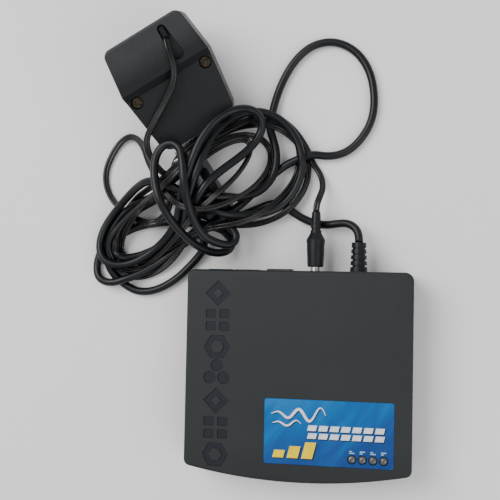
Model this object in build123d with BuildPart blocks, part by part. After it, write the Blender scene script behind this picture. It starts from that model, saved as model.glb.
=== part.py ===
from build123d import *
import math
import os

# External dial-up modem with its captive serial cable, the tied hank of both
# cords and the wall adapter.  Millimetres, +Z up.  The origin is the bottom
# centre of the modem body, +X runs along its width and +Y towards its rear.

# ---------------------------------------------------------------- body sizes
body_width = 130.0
body_depth = 120.0            # from the rear wall to the crown of the front
body_height = 26.0            # from the table to the top of the cover
front_bow = 7.0               # how far the front crown stands ahead of its ends
rear_corner_radius = 5.0
front_corner_radius = 4.0
top_edge_radius = 1.8
bottom_edge_radius = 1.2
wall = 2.0
foot_stand = 1.2              # gap that the feet leave under the case
parting_height = 13.5
lip_height = 1.6
lip_thickness = 0.8
fit_clearance = 0.15          # between pieces that are pushed together
seat_clearance = 0.05         # between a screw and its hole

rear_y = body_depth / 2
front_y = -body_depth / 2
half_width = body_width / 2
inner_rear_y = rear_y - wall

# ------------------------------------------------------------ label and lamps
label_length = 73.0
label_depth = 36.6
label_thickness = 0.4
label_recess = 0.5
label_centre = (half_width - 46.5, front_y + 28.8)
lamp_radius = 2.4
lamp_rim = 0.35
lamp_gap = 0.35               # between the rims of two lamps
lamp_pitch = 2 * (lamp_radius + lamp_rim) + lamp_gap
lamp_first_x = half_width - 33.1
lamp_y = front_y + 15.0
lamp_names = ["hook_lamp", "send_lamp", "receive_lamp", "power_lamp"]

# ------------------------------------------------- sunk band of plain figures
band_centre_x = 18.7 - half_width
band_width = 18.6
band_pitch = 15.4
band_count = 7
band_sink = 0.5
band_fill = 0.74              # size of a figure against the band's width

# ------------------------------------------------------------- rear openings
jack_width = 13.6
jack_height = 11.6
jack_depth = 18.0
jack_port_width = 9.8
jack_port_height = 6.8
jack_port_depth = 13.0
jack_gap = 2.4                # between the two jacks
line_jack_x = -47.0
phone_jack_x = line_jack_x + jack_width + jack_gap
switch_x = -12.0
switch_width = 15.0
switch_height = 10.0
power_x = 8.3
power_z = 12.0
serial_x = 33.5
serial_z = 13.0

# --------------------------------------------------------------- board sizes
board_thickness = 1.6
board_base = 6.0
board_top = board_base + board_thickness
board_half_width = half_width - 11.0
board_front_y = front_y + 10.0
board_rear_y = inner_rear_y - 1.5

# ------------------------------------------------------------------- screws
case_screw_radius = 1.5
case_screw_head_radius = 2.7
case_screw_head_height = 1.8
case_post_radius = 3.4
case_screw_x = half_width - 6.0
case_screw_places = [
    (-case_screw_x, rear_y - 10.0), (case_screw_x, rear_y - 10.0),
    (-case_screw_x, front_y + 15.0), (case_screw_x, front_y + 15.0),
]
board_screw_radius = 1.25
board_screw_head_radius = 2.3
board_screw_head_height = 1.3
board_post_radius = 3.0
board_screw_x = board_half_width - 5.0
board_screw_places = [
    (-board_screw_x, rear_y - 30.0), (board_screw_x, rear_y - 16.0),
    (-board_screw_x, front_y + 16.0), (board_screw_x, front_y + 23.0),
]

# -------------------------------------------------------------- cords and plug
serial_diameter = 4.8
power_cord_diameter = 3.4
relief_length = 17.0
relief_base_radius = 5.0
relief_tip_radius = 4.2
relief_groove_count = 4
plug_grip_start = rear_y + 2.6
plug_shoulder_y = plug_grip_start + 15.8
plug_tail_y = plug_shoulder_y + 16.4
plug_sleeve_radius = 2.75
plug_sleeve_bore = 2.2
plug_pin_bore = 1.3
socket_clearance = 0.3
socket_pin_radius = 1.05

# --------------------------------------------------------------- wall adapter
adapter_length = 67.0
adapter_end_width = 50.0
adapter_widest = 57.5
adapter_low_width = 48.0
adapter_widest_y = 40.0
adapter_thickness = 34.0
adapter_parting = 16.0
adapter_wall = 2.2
adapter_step = 3.0
adapter_heading = 120.0       # compass of its length, degrees from +X
adapter_tilt = 20.0           # it leans on its blades
adapter_foot = (-63.2, 148.1)
blade_length = 15.6
blade_width = 6.3
blade_thickness = 1.5
blade_spacing = 12.7
blade_y = 47.0
adapter_screw_radius = 1.6
adapter_screw_head_radius = 2.9
adapter_screw_y = 33.5
adapter_screw_x = 23.0

# --------------------------------------------------------- serial connector
hood_width = 33.0
hood_thickness = 15.4
hood_length = 38.0
hood_ear_length = 12.0
hood_body_width = 18.8
hood_wall = 1.5
thumbscrew_spacing = 24.99
thumbscrew_radius = 1.5
thumbscrew_knob_radius = 2.8
thumbscrew_knob_length = 9.0
running_clearance = 0.08
connector_front = (-67.9, 124.7)
connector_heading = 123.1     # compass of its mating direction

os.makedirs("parts", exist_ok=True)


def save(builder, name):
    """Label one finished piece and write it to its own file."""
    builder.part.label = name
    export_step(builder.part, "parts/" + name + ".step")


# ============================================================== modem casing
def body_plan(inset):
    """Outline of the body seen from above, moved inwards by inset."""
    end_y = front_y + front_bow
    with BuildSketch() as plan:
        with BuildLine():
            Polyline((-half_width, end_y), (-half_width, rear_y), (half_width, rear_y), (half_width, end_y))
            ThreePointArc((-half_width, end_y), (0, front_y), (half_width, end_y))
        make_face()
        fillet(plan.vertices().group_by(Axis.Y)[-1], rear_corner_radius)
        fillet(plan.vertices().group_by(Axis.Y)[0], front_corner_radius)
        if inset > 0:
            offset(amount=-inset)
    return plan.sketch


def cut_rear_windows():
    """Cut the rear wall where the jacks, switch, socket and cable pass."""
    reach = 4 * wall
    jack_z = board_top + jack_height / 2
    with Locations((line_jack_x, rear_y, jack_z), (phone_jack_x, rear_y, jack_z)):
        Box(jack_width + 2 * fit_clearance, reach, jack_height + 2 * fit_clearance, mode=Mode.SUBTRACT)
    with Locations((switch_x, rear_y, serial_z)):
        Box(switch_width - 2, reach, switch_height - 2, mode=Mode.SUBTRACT)
    with Locations((power_x, rear_y, power_z)):
        Cylinder(socket_collar_radius + fit_clearance, reach, rotation=(90, 0, 0), mode=Mode.SUBTRACT)
    with Locations((serial_x, rear_y, serial_z)):
        Cylinder(relief_neck_radius + fit_clearance, reach, rotation=(90, 0, 0), mode=Mode.SUBTRACT)


socket_collar_radius = plug_sleeve_radius + socket_clearance + 1.0
relief_neck_radius = relief_tip_radius
lamp_places = [(lamp_first_x + i * lamp_pitch, lamp_y) for i in range(len(lamp_names))]
cover_inner_top = body_height - wall
lip_inset = wall - lip_thickness


def band_figure(index, size):
    """Face of one sunk figure: hexagon, four tiles, diamond or three discs."""
    with BuildSketch() as figure:
        kind = index % 4
        if kind == 0:
            RegularPolygon(size * 0.56, 6)
            RegularPolygon(size * 0.28, 6, mode=Mode.SUBTRACT)
        elif kind == 1:
            with GridLocations(size * 0.58, size * 0.52, 2, 2):
                RectangleRounded(size * 0.44, size * 0.38, size * 0.08)
        elif kind == 2:
            Rectangle(size * 0.78, size * 0.78, rotation=45)
            Rectangle(size * 0.3, size * 0.3, rotation=45, mode=Mode.SUBTRACT)
        else:
            with PolarLocations(size * 0.34, 3, start_angle=90):
                Circle(size * 0.26)
    return figure.sketch


with BuildPart() as top_cover:
    with BuildSketch(Plane.XY.offset(parting_height)):
        add(body_plan(0))
    extrude(amount=body_height - parting_height)
    fillet(top_cover.faces().sort_by(Axis.Z)[-1].edges(), top_edge_radius)
    with BuildSketch(Plane.XY.offset(parting_height)):
        add(body_plan(wall))
    extrude(amount=cover_inner_top - parting_height, mode=Mode.SUBTRACT)
    with BuildSketch(Plane.XY.offset(body_height)):
        with Locations(label_centre):
            RectangleRounded(label_length + 2 * fit_clearance, label_depth + 2 * fit_clearance, 1.5)
    extrude(amount=-label_recess, mode=Mode.SUBTRACT)
    with BuildSketch(Plane.XY.offset(body_height)):
        for index in range(band_count):
            figure_y = (index - (band_count - 1) / 2) * band_pitch
            with Locations((band_centre_x, figure_y)):
                add(band_figure(index, band_width * band_fill))
    extrude(amount=-band_sink, mode=Mode.SUBTRACT)
    with BuildSketch(Plane.XY.offset(cover_inner_top)):
        with Locations(*case_screw_places):
            Circle(case_post_radius)
    extrude(amount=parting_height - cover_inner_top)
    with BuildSketch(Plane.XY.offset(parting_height)):
        with Locations(*case_screw_places):
            Circle(case_screw_radius + seat_clearance)
    extrude(amount=7, mode=Mode.SUBTRACT)
    with BuildSketch(Plane.XY.offset(body_height)):
        with Locations(*lamp_places):
            Circle(lamp_radius + fit_clearance)
    extrude(amount=-2 * wall, mode=Mode.SUBTRACT)
    with BuildSketch(Plane.XY.offset(parting_height)):
        add(body_plan(lip_inset - fit_clearance))
        add(body_plan(wall + 1), mode=Mode.SUBTRACT)
    extrude(amount=lip_height + fit_clearance, mode=Mode.SUBTRACT)
    cut_rear_windows()
save(top_cover, "top_cover")

post_base_z = foot_stand + wall
screw_head_z = foot_stand + 1.0 + case_screw_head_height
foot_radius = 5.0
foot_height = 2.0
foot_x = half_width - 15.0
foot_places = [
    (-foot_x, rear_y - 12.0), (foot_x, rear_y - 12.0), (-foot_x, front_y + 14.0), (foot_x, front_y + 14.0),
]

with BuildPart() as bottom_case:
    with BuildSketch(Plane.XY.offset(foot_stand)):
        add(body_plan(0))
    extrude(amount=parting_height - foot_stand)
    fillet(bottom_case.faces().sort_by(Axis.Z)[0].edges(), bottom_edge_radius)
    with BuildSketch(Plane.XY.offset(parting_height)):
        add(body_plan(lip_inset))
        add(body_plan(wall), mode=Mode.SUBTRACT)
    extrude(amount=lip_height)
    with BuildSketch(Plane.XY.offset(post_base_z)):
        add(body_plan(wall))
    extrude(amount=parting_height - post_base_z, mode=Mode.SUBTRACT)
    with BuildSketch(Plane.XY.offset(post_base_z)):
        with Locations(*case_screw_places):
            Circle(case_post_radius)
    extrude(amount=parting_height - post_base_z)
    with BuildSketch(Plane.XY.offset(post_base_z)):
        with Locations(*board_screw_places):
            Circle(board_post_radius)
    extrude(amount=board_base - post_base_z)
    with BuildSketch(Plane.XY.offset(foot_stand)):
        with Locations(*case_screw_places):
            Circle(case_screw_radius + seat_clearance)
    extrude(amount=parting_height, mode=Mode.SUBTRACT)
    with BuildSketch(Plane.XY.offset(foot_stand)):
        with Locations(*case_screw_places):
            Circle(case_screw_head_radius + fit_clearance)
    extrude(amount=screw_head_z - foot_stand, mode=Mode.SUBTRACT)
    with BuildSketch(Plane.XY.offset(foot_stand + 1.0)):
        with Locations(*board_screw_places):
            Circle(board_screw_radius + seat_clearance)
    extrude(amount=board_base, mode=Mode.SUBTRACT)
    with BuildSketch(Plane.XY.offset(foot_stand)):
        with Locations(*foot_places):
            Circle(foot_radius + fit_clearance)
    extrude(amount=foot_height - foot_stand, mode=Mode.SUBTRACT)
    with BuildSketch(Plane.XY.offset(foot_stand)):
        with GridLocations(5.0, 40.0, 9, 2):
            SlotOverall(18.0, 1.8, rotation=90)
    extrude(amount=wall, mode=Mode.SUBTRACT)
    cut_rear_windows()
save(bottom_case, "bottom_case")

with BuildPart() as rubber_feet:
    with BuildSketch():
        with Locations(*foot_places):
            Circle(foot_radius)
    extrude(amount=foot_height)
    chamfer(rubber_feet.faces().group_by(Axis.Z)[0].edges(), 0.4)
save(rubber_feet, "rubber_feet")

with BuildPart() as label_plate:
    with BuildSketch(Plane.XY.offset(body_height - label_recess)):
        with Locations(label_centre):
            RectangleRounded(label_length, label_depth, 1.35)
        with Locations(*lamp_places):
            Circle(lamp_radius + fit_clearance, mode=Mode.SUBTRACT)
    extrude(amount=label_thickness)
save(label_plate, "label_plate")

# A lamp is a round body with a domed tip, a rim at its foot and two legs.
lamp_tip_z = body_height + 0.9
lamp_foot_z = board_top + 5.0
for name, (lamp_x, lamp_line_y) in zip(lamp_names, lamp_places):
    with BuildPart() as lamp:
        with Locations((lamp_x, lamp_line_y, lamp_foot_z)):
            Cylinder(lamp_radius + lamp_rim, 1.0, align=(Align.CENTER, Align.CENTER, Align.MIN))
            Cylinder(lamp_radius, lamp_tip_z - lamp_foot_z, align=(Align.CENTER, Align.CENTER, Align.MIN))
        fillet(lamp.faces().sort_by(Axis.Z)[-1].edges(), lamp_radius * 0.85)
        for side in (-1, 1):
            with Locations((lamp_x + side * 1.27, lamp_line_y, board_top)):
                Box(0.6, 0.6, lamp_foot_z - board_top, align=(Align.CENTER, Align.CENTER, Align.MIN))
    save(lamp, name)

with BuildPart() as case_screws:
    with BuildSketch(Plane.XY.offset(screw_head_z - case_screw_head_height)):
        with Locations(*case_screw_places):
            Circle(case_screw_head_radius)
    extrude(amount=case_screw_head_height)
    with BuildSketch(Plane.XY.offset(screw_head_z)):
        with Locations(*case_screw_places):
            Circle(case_screw_radius)
    extrude(amount=parting_height + 5 - screw_head_z)
    with BuildSketch(Plane.XY.offset(screw_head_z - case_screw_head_height)):
        with Locations(*case_screw_places):
            Rectangle(3.2, 0.8)
            Rectangle(0.8, 3.2)
    extrude(amount=1.0, mode=Mode.SUBTRACT)
save(case_screws, "case_screws")

# ============================================================ circuit board
relief_flange_y = inner_rear_y - 2.5
header_y = rear_y - 15.0

with BuildPart() as circuit_board:
    with BuildSketch(Plane.XY.offset(board_base)):
        with Locations((0, (board_front_y + board_rear_y) / 2)):
            RectangleRounded(2 * board_half_width, board_rear_y - board_front_y, 2.0)
        with Locations(*board_screw_places):
            Circle(board_screw_radius + fit_clearance, mode=Mode.SUBTRACT)
    extrude(amount=board_thickness)
save(circuit_board, "circuit_board")

with BuildPart() as board_screws:
    with BuildSketch(Plane.XY.offset(board_top)):
        with Locations(*board_screw_places):
            Circle(board_screw_head_radius)
    extrude(amount=board_screw_head_height)
    with BuildSketch(Plane.XY.offset(board_top)):
        with Locations(*board_screw_places):
            Circle(board_screw_radius)
    extrude(amount=-(board_thickness + 2.5))
    with BuildSketch(Plane.XY.offset(board_top + board_screw_head_height)):
        with Locations(*board_screw_places):
            Rectangle(2.6, 0.7)
            Rectangle(0.7, 2.6)
    extrude(amount=-0.7, mode=Mode.SUBTRACT)
save(board_screws, "board_screws")


def save_chip(name, place, size, lead_count):
    """A square flat-pack chip: a body with a row of legs on each side."""
    lead_pitch = (size - 3.0) / (lead_count - 1)
    with BuildPart() as chip:
        with Locations((place[0], place[1], board_top + 0.4)):
            Box(size, size, 2.4, align=(Align.CENTER, Align.CENTER, Align.MIN))
        chamfer(chip.faces().sort_by(Axis.Z)[-1].edges(), 0.4)
        for turn in (0, 90, 180, 270):
            with Locations(Location((place[0], place[1], board_top + 0.7), (0, 0, turn))):
                with Locations((size / 2 + 0.5, 0, 0)):
                    with GridLocations(1, lead_pitch, 1, lead_count):
                        Box(1.4, 0.45, 1.4)
    save(chip, name)


save_chip("modem_chip", (2.0, 2.0), 24.0, 10)
save_chip("controller_chip", (34.0, -10.0), 16.0, 8)

speaker_radius = 8.0
speaker_place = (-28.0, front_y + 20.0)
memory_place = (-30.0, speaker_place[1] + speaker_radius + 10.0)
with BuildPart() as memory_chip:
    with Locations((memory_place[0], memory_place[1], board_top + 0.6)):
        Box(36.0, 13.0, 3.6, align=(Align.CENTER, Align.CENTER, Align.MIN))
    with Locations((memory_place[0] - 18.0, memory_place[1], board_top + 4.2)):
        Cylinder(1.4, 1.2, mode=Mode.SUBTRACT)
    with Locations((memory_place[0], memory_place[1], board_top)):
        with GridLocations(2.54, 15.24, 14, 2):
            Box(0.5, 0.4, 3.0, align=(Align.CENTER, Align.CENTER, Align.MIN))
    with Locations((memory_place[0], memory_place[1], board_top + 2.6)):
        with GridLocations(2.54, 14.2, 14, 2):
            Box(0.9, 1.7, 0.4, align=(Align.CENTER, Align.CENTER, Align.MIN))
save(memory_chip, "memory_chip")

with BuildPart() as crystal:
    with BuildSketch(Plane.XY.offset(board_top)):
        with Locations((25.0, 6.0)):
            SlotOverall(11.0, 4.6)
    extrude(amount=0.6)
    with BuildSketch(Plane.XY.offset(board_top + 0.6)):
        with Locations((25.0, 6.0)):
            SlotOverall(10.0, 3.7)
    extrude(amount=5.0)
    fillet(crystal.faces().sort_by(Axis.Z)[-1].edges(), 0.6)
save(crystal, "crystal")

line_transformer_y = board_screw_places[0][1] - 16.0
with BuildPart() as line_transformer:
    with Locations((-41.0, line_transformer_y, board_top)):
        Box(17.0, 8.0, 12.0, align=(Align.CENTER, Align.CENTER, Align.MIN))
        Box(11.0, 14.0, 9.0, align=(Align.CENTER, Align.CENTER, Align.MIN))
    fillet(line_transformer.edges().filter_by(Axis.Z), 0.5)
save(line_transformer, "line_transformer")

with BuildPart() as hook_relay:
    with Locations((-18.0, 20.0, board_top)):
        Box(10.0, 16.0, 10.5, align=(Align.CENTER, Align.CENTER, Align.MIN))
    fillet(hook_relay.edges().filter_by(Axis.Z), 0.6)
    chamfer(hook_relay.faces().sort_by(Axis.Z)[-1].edges(), 0.5)
save(hook_relay, "hook_relay")

capacitor_places = [(20.0, rear_y - 28.0), (4.0, rear_y - 30.0), (48.0, 14.0), (48.0, 25.0)]
with BuildPart() as capacitors:
    with BuildSketch(Plane.XY.offset(board_top)):
        with Locations(*capacitor_places):
            Circle(4.0)
    extrude(amount=11.0)
    fillet(capacitors.faces().group_by(Axis.Z)[-1].edges(), 0.5)
save(capacitors, "capacitors")

# The regulator's metal tab lies against the heat sink's plate.
sink_front_y = rear_y - 17.8
with BuildPart() as regulator:
    with Locations((-6.0, sink_front_y - 2.2, board_top)):
        Box(10.2, 4.4, 9.0, align=(Align.CENTER, Align.CENTER, Align.MIN))
    with Locations((-6.0, sink_front_y - 0.6, board_top + 9.0)):
        Box(10.2, 1.2, 5.5, align=(Align.CENTER, Align.CENTER, Align.MIN))
    with Locations((-6.0, sink_front_y - 0.6, board_top + 12.2)):
        Cylinder(1.8, 3.0, rotation=(90, 0, 0), mode=Mode.SUBTRACT)
save(regulator, "regulator")

with BuildPart() as heat_sink:
    with Locations((-6.0, sink_front_y + 0.7, board_top)):
        Box(18.0, 1.4, 15.0, align=(Align.CENTER, Align.CENTER, Align.MIN))
    with Locations((-6.0, sink_front_y + 2.9, board_top)):
        with GridLocations(4.1, 1, 5, 1):
            Box(1.2, 3.2, 15.0, align=(Align.CENTER, Align.CENTER, Align.MIN))
save(heat_sink, "heat_sink")

with BuildPart() as speaker:
    with Locations((speaker_place[0], speaker_place[1], board_top)):
        Cylinder(speaker_radius, 7.0, align=(Align.CENTER, Align.CENTER, Align.MIN))
    fillet(speaker.faces().sort_by(Axis.Z)[-1].edges(), 0.8)
    with Locations((speaker_place[0], speaker_place[1], board_top + 7.0)):
        Cylinder(1.3, 3.0, mode=Mode.SUBTRACT)
save(speaker, "speaker")

# ------------------------------------------------- telephone jacks and wires
jack_face_y = rear_y + 0.4
jack_mid_z = board_top + jack_height / 2
port_mid_z = jack_mid_z + 0.4
for name, jack_x in (("line_jack", line_jack_x), ("phone_jack", phone_jack_x)):
    with BuildPart() as jack:
        with Locations((jack_x, jack_face_y - jack_depth / 2, jack_mid_z)):
            Box(jack_width, jack_depth, jack_height)
        fillet(jack.edges().filter_by(Axis.Y), 0.5)
        with Locations((jack_x, jack_face_y - jack_port_depth / 2, port_mid_z)):
            Box(jack_port_width, jack_port_depth, jack_port_height, mode=Mode.SUBTRACT)
        with Locations((jack_x, jack_face_y - jack_port_depth / 2, port_mid_z - jack_port_height / 2 - 0.5)):
            Box(4.0, jack_port_depth, 1.6, mode=Mode.SUBTRACT)
    save(jack, name)

with BuildPart() as jack_contacts:
    for jack_x in (line_jack_x, phone_jack_x):
        contact_y = jack_face_y - jack_port_depth
        with Locations((jack_x, contact_y + 0.6, port_mid_z + jack_port_height / 2 - 2.0)):
            with GridLocations(1.27, 1, 4, 1):
                Box(0.45, 1.2, 4.0)
save(jack_contacts, "jack_contacts")

# ------------------------------------------------------------- power socket
socket_depth = 14.0
socket_front_y = inner_rear_y - 0.2
with BuildPart() as power_socket:
    with Locations((power_x, socket_front_y - socket_depth / 2, board_top)):
        Box(9.0, socket_depth, 2 * (power_z - board_top), align=(Align.CENTER, Align.CENTER, Align.MIN))
    with Locations((power_x, rear_y, power_z)):
        Cylinder(
            socket_collar_radius, rear_y - socket_front_y + 1, rotation=(90, 0, 0),
            align=(Align.CENTER, Align.CENTER, Align.MIN),
        )
    with Locations((power_x, rear_y, power_z)):
        Cylinder(
            plug_sleeve_radius + socket_clearance, 10.5, rotation=(90, 0, 0),
            align=(Align.CENTER, Align.CENTER, Align.MIN), mode=Mode.SUBTRACT,
        )
save(power_socket, "power_socket")

with BuildPart() as socket_pin:
    with Locations((power_x, rear_y - 1.5, power_z)):
        Cylinder(
            socket_pin_radius, 9.0, rotation=(90, 0, 0),
            align=(Align.CENTER, Align.CENTER, Align.MIN),
        )
    fillet(socket_pin.faces().sort_by(Axis.Y)[-1].edges(), 0.5)
save(socket_pin, "socket_pin")

# ------------------------------------------------------------- power switch
# The rocker turns on a short upright pin.  At rest its left half is pressed.
rocker_half = 5.0
rocker_height = 6.4
rocker_tilt = 7.0
rocker_pin_radius = 0.9
rocker_pivot_y = rear_y - 2.0
switch_mid_z = serial_z
frame_front_y = rear_y + 1.0
with BuildPart() as switch_frame:
    with Locations((switch_x, (rear_y + frame_front_y) / 2, switch_mid_z)):
        Box(switch_width, frame_front_y - rear_y, switch_height)
    fillet(switch_frame.edges().filter_by(Axis.Y), 1.0)
    with Locations((switch_x, rear_y - 4.5, switch_mid_z)):
        Box(switch_width - 2 - 2 * fit_clearance, 9.0, switch_height - 2 - 2 * fit_clearance)
    with Locations((switch_x, rear_y - 1.6, switch_mid_z)):
        Box(2 * rocker_half + 0.8, 6.6, rocker_height + 0.4, mode=Mode.SUBTRACT)
    with Locations((switch_x, rocker_pivot_y, switch_mid_z)):
        Cylinder(rocker_pin_radius + seat_clearance, rocker_height + 1.4, mode=Mode.SUBTRACT)
save(switch_frame, "switch_frame")

rocker_plane = Plane(
    origin=(switch_x, rocker_pivot_y, switch_mid_z), x_dir=Vector(1, 0, 0).rotate(Axis.Z, rocker_tilt),
    z_dir=(0, 0, 1),
)
with BuildPart() as switch_rocker:
    with BuildSketch(rocker_plane):
        with BuildLine():
            Polyline(
                (-rocker_half, 0.4), (-rocker_half, 2.5), (0, 1.9), (rocker_half, 2.5),
                (rocker_half, 0.4), (1.8, -1.9), (-1.8, -1.9), close=True,
            )
        make_face()
    extrude(amount=rocker_height / 2, both=True)
    with BuildSketch(rocker_plane):
        Circle(rocker_pin_radius)
    extrude(amount=rocker_height / 2 + 0.6, both=True)
save(switch_rocker, "switch_rocker")

# ---------------------------------------------- serial header inside the case
with BuildPart() as serial_header:
    with Locations((serial_x, header_y, board_top)):
        Box(21.0, 5.2, 5.0, align=(Align.CENTER, Align.CENTER, Align.MIN))
    with Locations((serial_x, header_y, board_top + 1.2)):
        Box(19.0, 4.2, 5.0, align=(Align.CENTER, Align.CENTER, Align.MIN), mode=Mode.SUBTRACT)
save(serial_header, "serial_header")

with BuildPart() as header_plug:
    with Locations((serial_x, header_y, board_top + 1.4)):
        Box(18.6, 3.9, 7.4, align=(Align.CENTER, Align.CENTER, Align.MIN))
    fillet(header_plug.edges().filter_by(Axis.Z), 0.4)
save(header_plug, "header_plug")

with BuildPart() as serial_pigtail:
    with Locations((serial_x, relief_flange_y, serial_z)):
        Cylinder(
            serial_diameter / 2, relief_flange_y - header_y - 2.7, rotation=(90, 0, 0),
            align=(Align.CENTER, Align.CENTER, Align.MIN),
        )
save(serial_pigtail, "serial_pigtail")

# ====================================================== serial strain relief
relief_end_y = rear_y + relief_length
relief_pitch = relief_length / (relief_groove_count + 1)
relief_axis = Axis((serial_x, 0, serial_z), (0, 1, 0))
with BuildPart() as serial_strain_relief:
    with BuildSketch(Plane(origin=(serial_x, 0, serial_z), x_dir=(1, 0, 0), z_dir=(0, 0, 1))):
        with BuildLine():
            Polyline(
                (0, relief_flange_y), (5.2, relief_flange_y), (5.2, inner_rear_y - 0.1),
                (relief_neck_radius, inner_rear_y - 0.1), (relief_neck_radius, rear_y + 0.1),
                (relief_base_radius, rear_y + 0.1), (relief_tip_radius, relief_end_y), (0, relief_end_y),
                close=True,
            )
        make_face()
        for index in range(relief_groove_count):
            groove_y = rear_y + relief_pitch * (index + 1)
            with Locations((relief_base_radius, groove_y)):
                Rectangle(2.6, relief_pitch * 0.34, mode=Mode.SUBTRACT)
    revolve(axis=relief_axis)
save(serial_strain_relief, "serial_strain_relief")

# ================================================================ power plug
plug_axis = Axis((power_x, 0, power_z), (0, 1, 0))
plug_plane = Plane(origin=(power_x, 0, power_z), x_dir=(1, 0, 0), z_dir=(0, 0, 1))
sleeve_tip_y = rear_y - 7.5
sleeve_seat_y = plug_grip_start + 5.0
neck_start_y = plug_shoulder_y + 4.0
with BuildPart() as plug_grip:
    with BuildSketch(plug_plane):
        with BuildLine():
            Polyline(
                (0, sleeve_seat_y), (plug_sleeve_radius, sleeve_seat_y), (plug_sleeve_radius, plug_grip_start),
                (4.3, plug_grip_start), (4.7, plug_grip_start + 0.5), (5.5, plug_shoulder_y),
                (3.3, neck_start_y), (2.5, plug_tail_y), (0, plug_tail_y), close=True,
            )
        make_face()
        with Locations(*[(5.7, plug_shoulder_y - 6.0 + 1.6 * i) for i in range(3)]):
            Rectangle(1.2, 0.7, mode=Mode.SUBTRACT)
        with Locations(*[(3.5, neck_start_y + 2.2 + 3.0 * i) for i in range(4)]):
            Rectangle(1.8, 1.1, mode=Mode.SUBTRACT)
    revolve(axis=plug_axis)
save(plug_grip, "plug_grip")

with BuildPart() as plug_sleeve:
    with BuildSketch(plug_plane):
        with BuildLine():
            Polyline(
                (plug_sleeve_bore, sleeve_tip_y), (plug_sleeve_radius - 0.2, sleeve_tip_y),
                (plug_sleeve_radius, sleeve_tip_y + 0.3), (plug_sleeve_radius, sleeve_seat_y),
                (plug_sleeve_bore, sleeve_seat_y), close=True,
            )
        make_face()
    revolve(axis=plug_axis)
save(plug_sleeve, "plug_sleeve")

with BuildPart() as plug_insulator:
    with BuildSketch(plug_plane):
        with BuildLine():
            Polyline(
                (plug_pin_bore, sleeve_tip_y - 0.3), (plug_sleeve_bore, sleeve_tip_y - 0.3),
                (plug_sleeve_bore, sleeve_seat_y), (plug_pin_bore, sleeve_seat_y), close=True,
            )
        make_face()
    revolve(axis=plug_axis)
save(plug_insulator, "plug_insulator")

# ============================================================== wall adapter
# It leans on its blades: its low end rests on the table and its cord end is up.
length_way = Vector(math.cos(math.radians(adapter_heading)), math.sin(math.radians(adapter_heading)), 0)
across_way = Vector(math.sin(math.radians(adapter_heading)), -math.cos(math.radians(adapter_heading)), 0)
lean = math.radians(adapter_tilt)
face_way = across_way.cross(length_way * math.cos(lean) + Vector(0, 0, math.sin(lean)))
adapter_plane = Plane(origin=(adapter_foot[0], adapter_foot[1], 0), x_dir=across_way, z_dir=face_way)
face_axis = Axis(adapter_plane.origin, adapter_plane.z_dir)
length_axis = Axis(adapter_plane.origin, adapter_plane.y_dir)
low_face = adapter_thickness - adapter_step


def adapter_plan(inset):
    """Outline of the adapter seen on its face, moved inwards by inset."""
    with BuildSketch() as plan:
        with BuildLine():
            Polyline(
                (-adapter_low_width / 2, 0), (adapter_low_width / 2, 0),
                (adapter_widest / 2, adapter_widest_y), (adapter_end_width / 2, adapter_length),
                (-adapter_end_width / 2, adapter_length), (-adapter_widest / 2, adapter_widest_y), close=True,
            )
        make_face()
        fillet(plan.vertices().group_by(Axis.Y)[0], 8.0)
        fillet(plan.vertices().group_by(Axis.Y)[-1], 5.0)
        if inset > 0:
            offset(amount=-inset)
    return plan.sketch


cord_slot_top = (11.3, 61.5)
cord_slot_foot = (12.2, 46.0)
slot_depth = 4.0
adapter_post_radius = 4.2
screw_places = [(-adapter_screw_x, adapter_screw_y), (adapter_screw_x, adapter_screw_y)]
screw_seat = low_face - 4.0
blade_seat = 5.0
blade_places = [(-blade_spacing / 2, blade_y), (blade_spacing / 2, blade_y)]

with BuildPart() as adapter_front:
    with BuildSketch(adapter_plane.offset(adapter_parting)):
        add(adapter_plan(0))
    extrude(amount=adapter_thickness - adapter_parting)
    fillet(adapter_front.faces().sort_by(face_axis)[-1].edges(), 1.5)
    with BuildSketch(Plane(origin=adapter_plane.origin, x_dir=adapter_plane.y_dir, z_dir=adapter_plane.x_dir)):
        with BuildLine():
            Polyline(
                (-5, low_face - 1.5), (adapter_widest_y - 4, low_face), (adapter_widest_y, adapter_thickness),
                (adapter_widest_y, adapter_thickness + 5), (-5, adapter_thickness + 5), close=True,
            )
        make_face()
    extrude(amount=adapter_widest, both=True, mode=Mode.SUBTRACT)
    with BuildSketch(adapter_plane.offset(adapter_parting)):
        add(adapter_plan(adapter_wall))
    extrude(amount=low_face - adapter_wall - 1.5 - adapter_parting, mode=Mode.SUBTRACT)
    with BuildSketch(adapter_plane.offset(adapter_parting)):
        with Locations(*screw_places):
            Circle(adapter_post_radius)
    extrude(amount=low_face - adapter_wall - adapter_parting)
    with BuildSketch(adapter_plane.offset(screw_seat)):
        with Locations(*screw_places):
            Circle(adapter_screw_head_radius + 0.8)
    extrude(amount=adapter_thickness, mode=Mode.SUBTRACT)
    with BuildSketch(adapter_plane.offset(adapter_parting)):
        with Locations(*screw_places):
            Circle(adapter_screw_radius + seat_clearance)
    extrude(amount=adapter_thickness, mode=Mode.SUBTRACT)
    with BuildSketch(adapter_plane.offset(adapter_thickness - slot_depth)):
        with Locations(cord_slot_top):
            Circle(2.5)
        with Locations(cord_slot_foot):
            Circle(3.8)
        make_hull()
    extrude(amount=adapter_thickness, mode=Mode.SUBTRACT)
save(adapter_front, "adapter_front")

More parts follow.
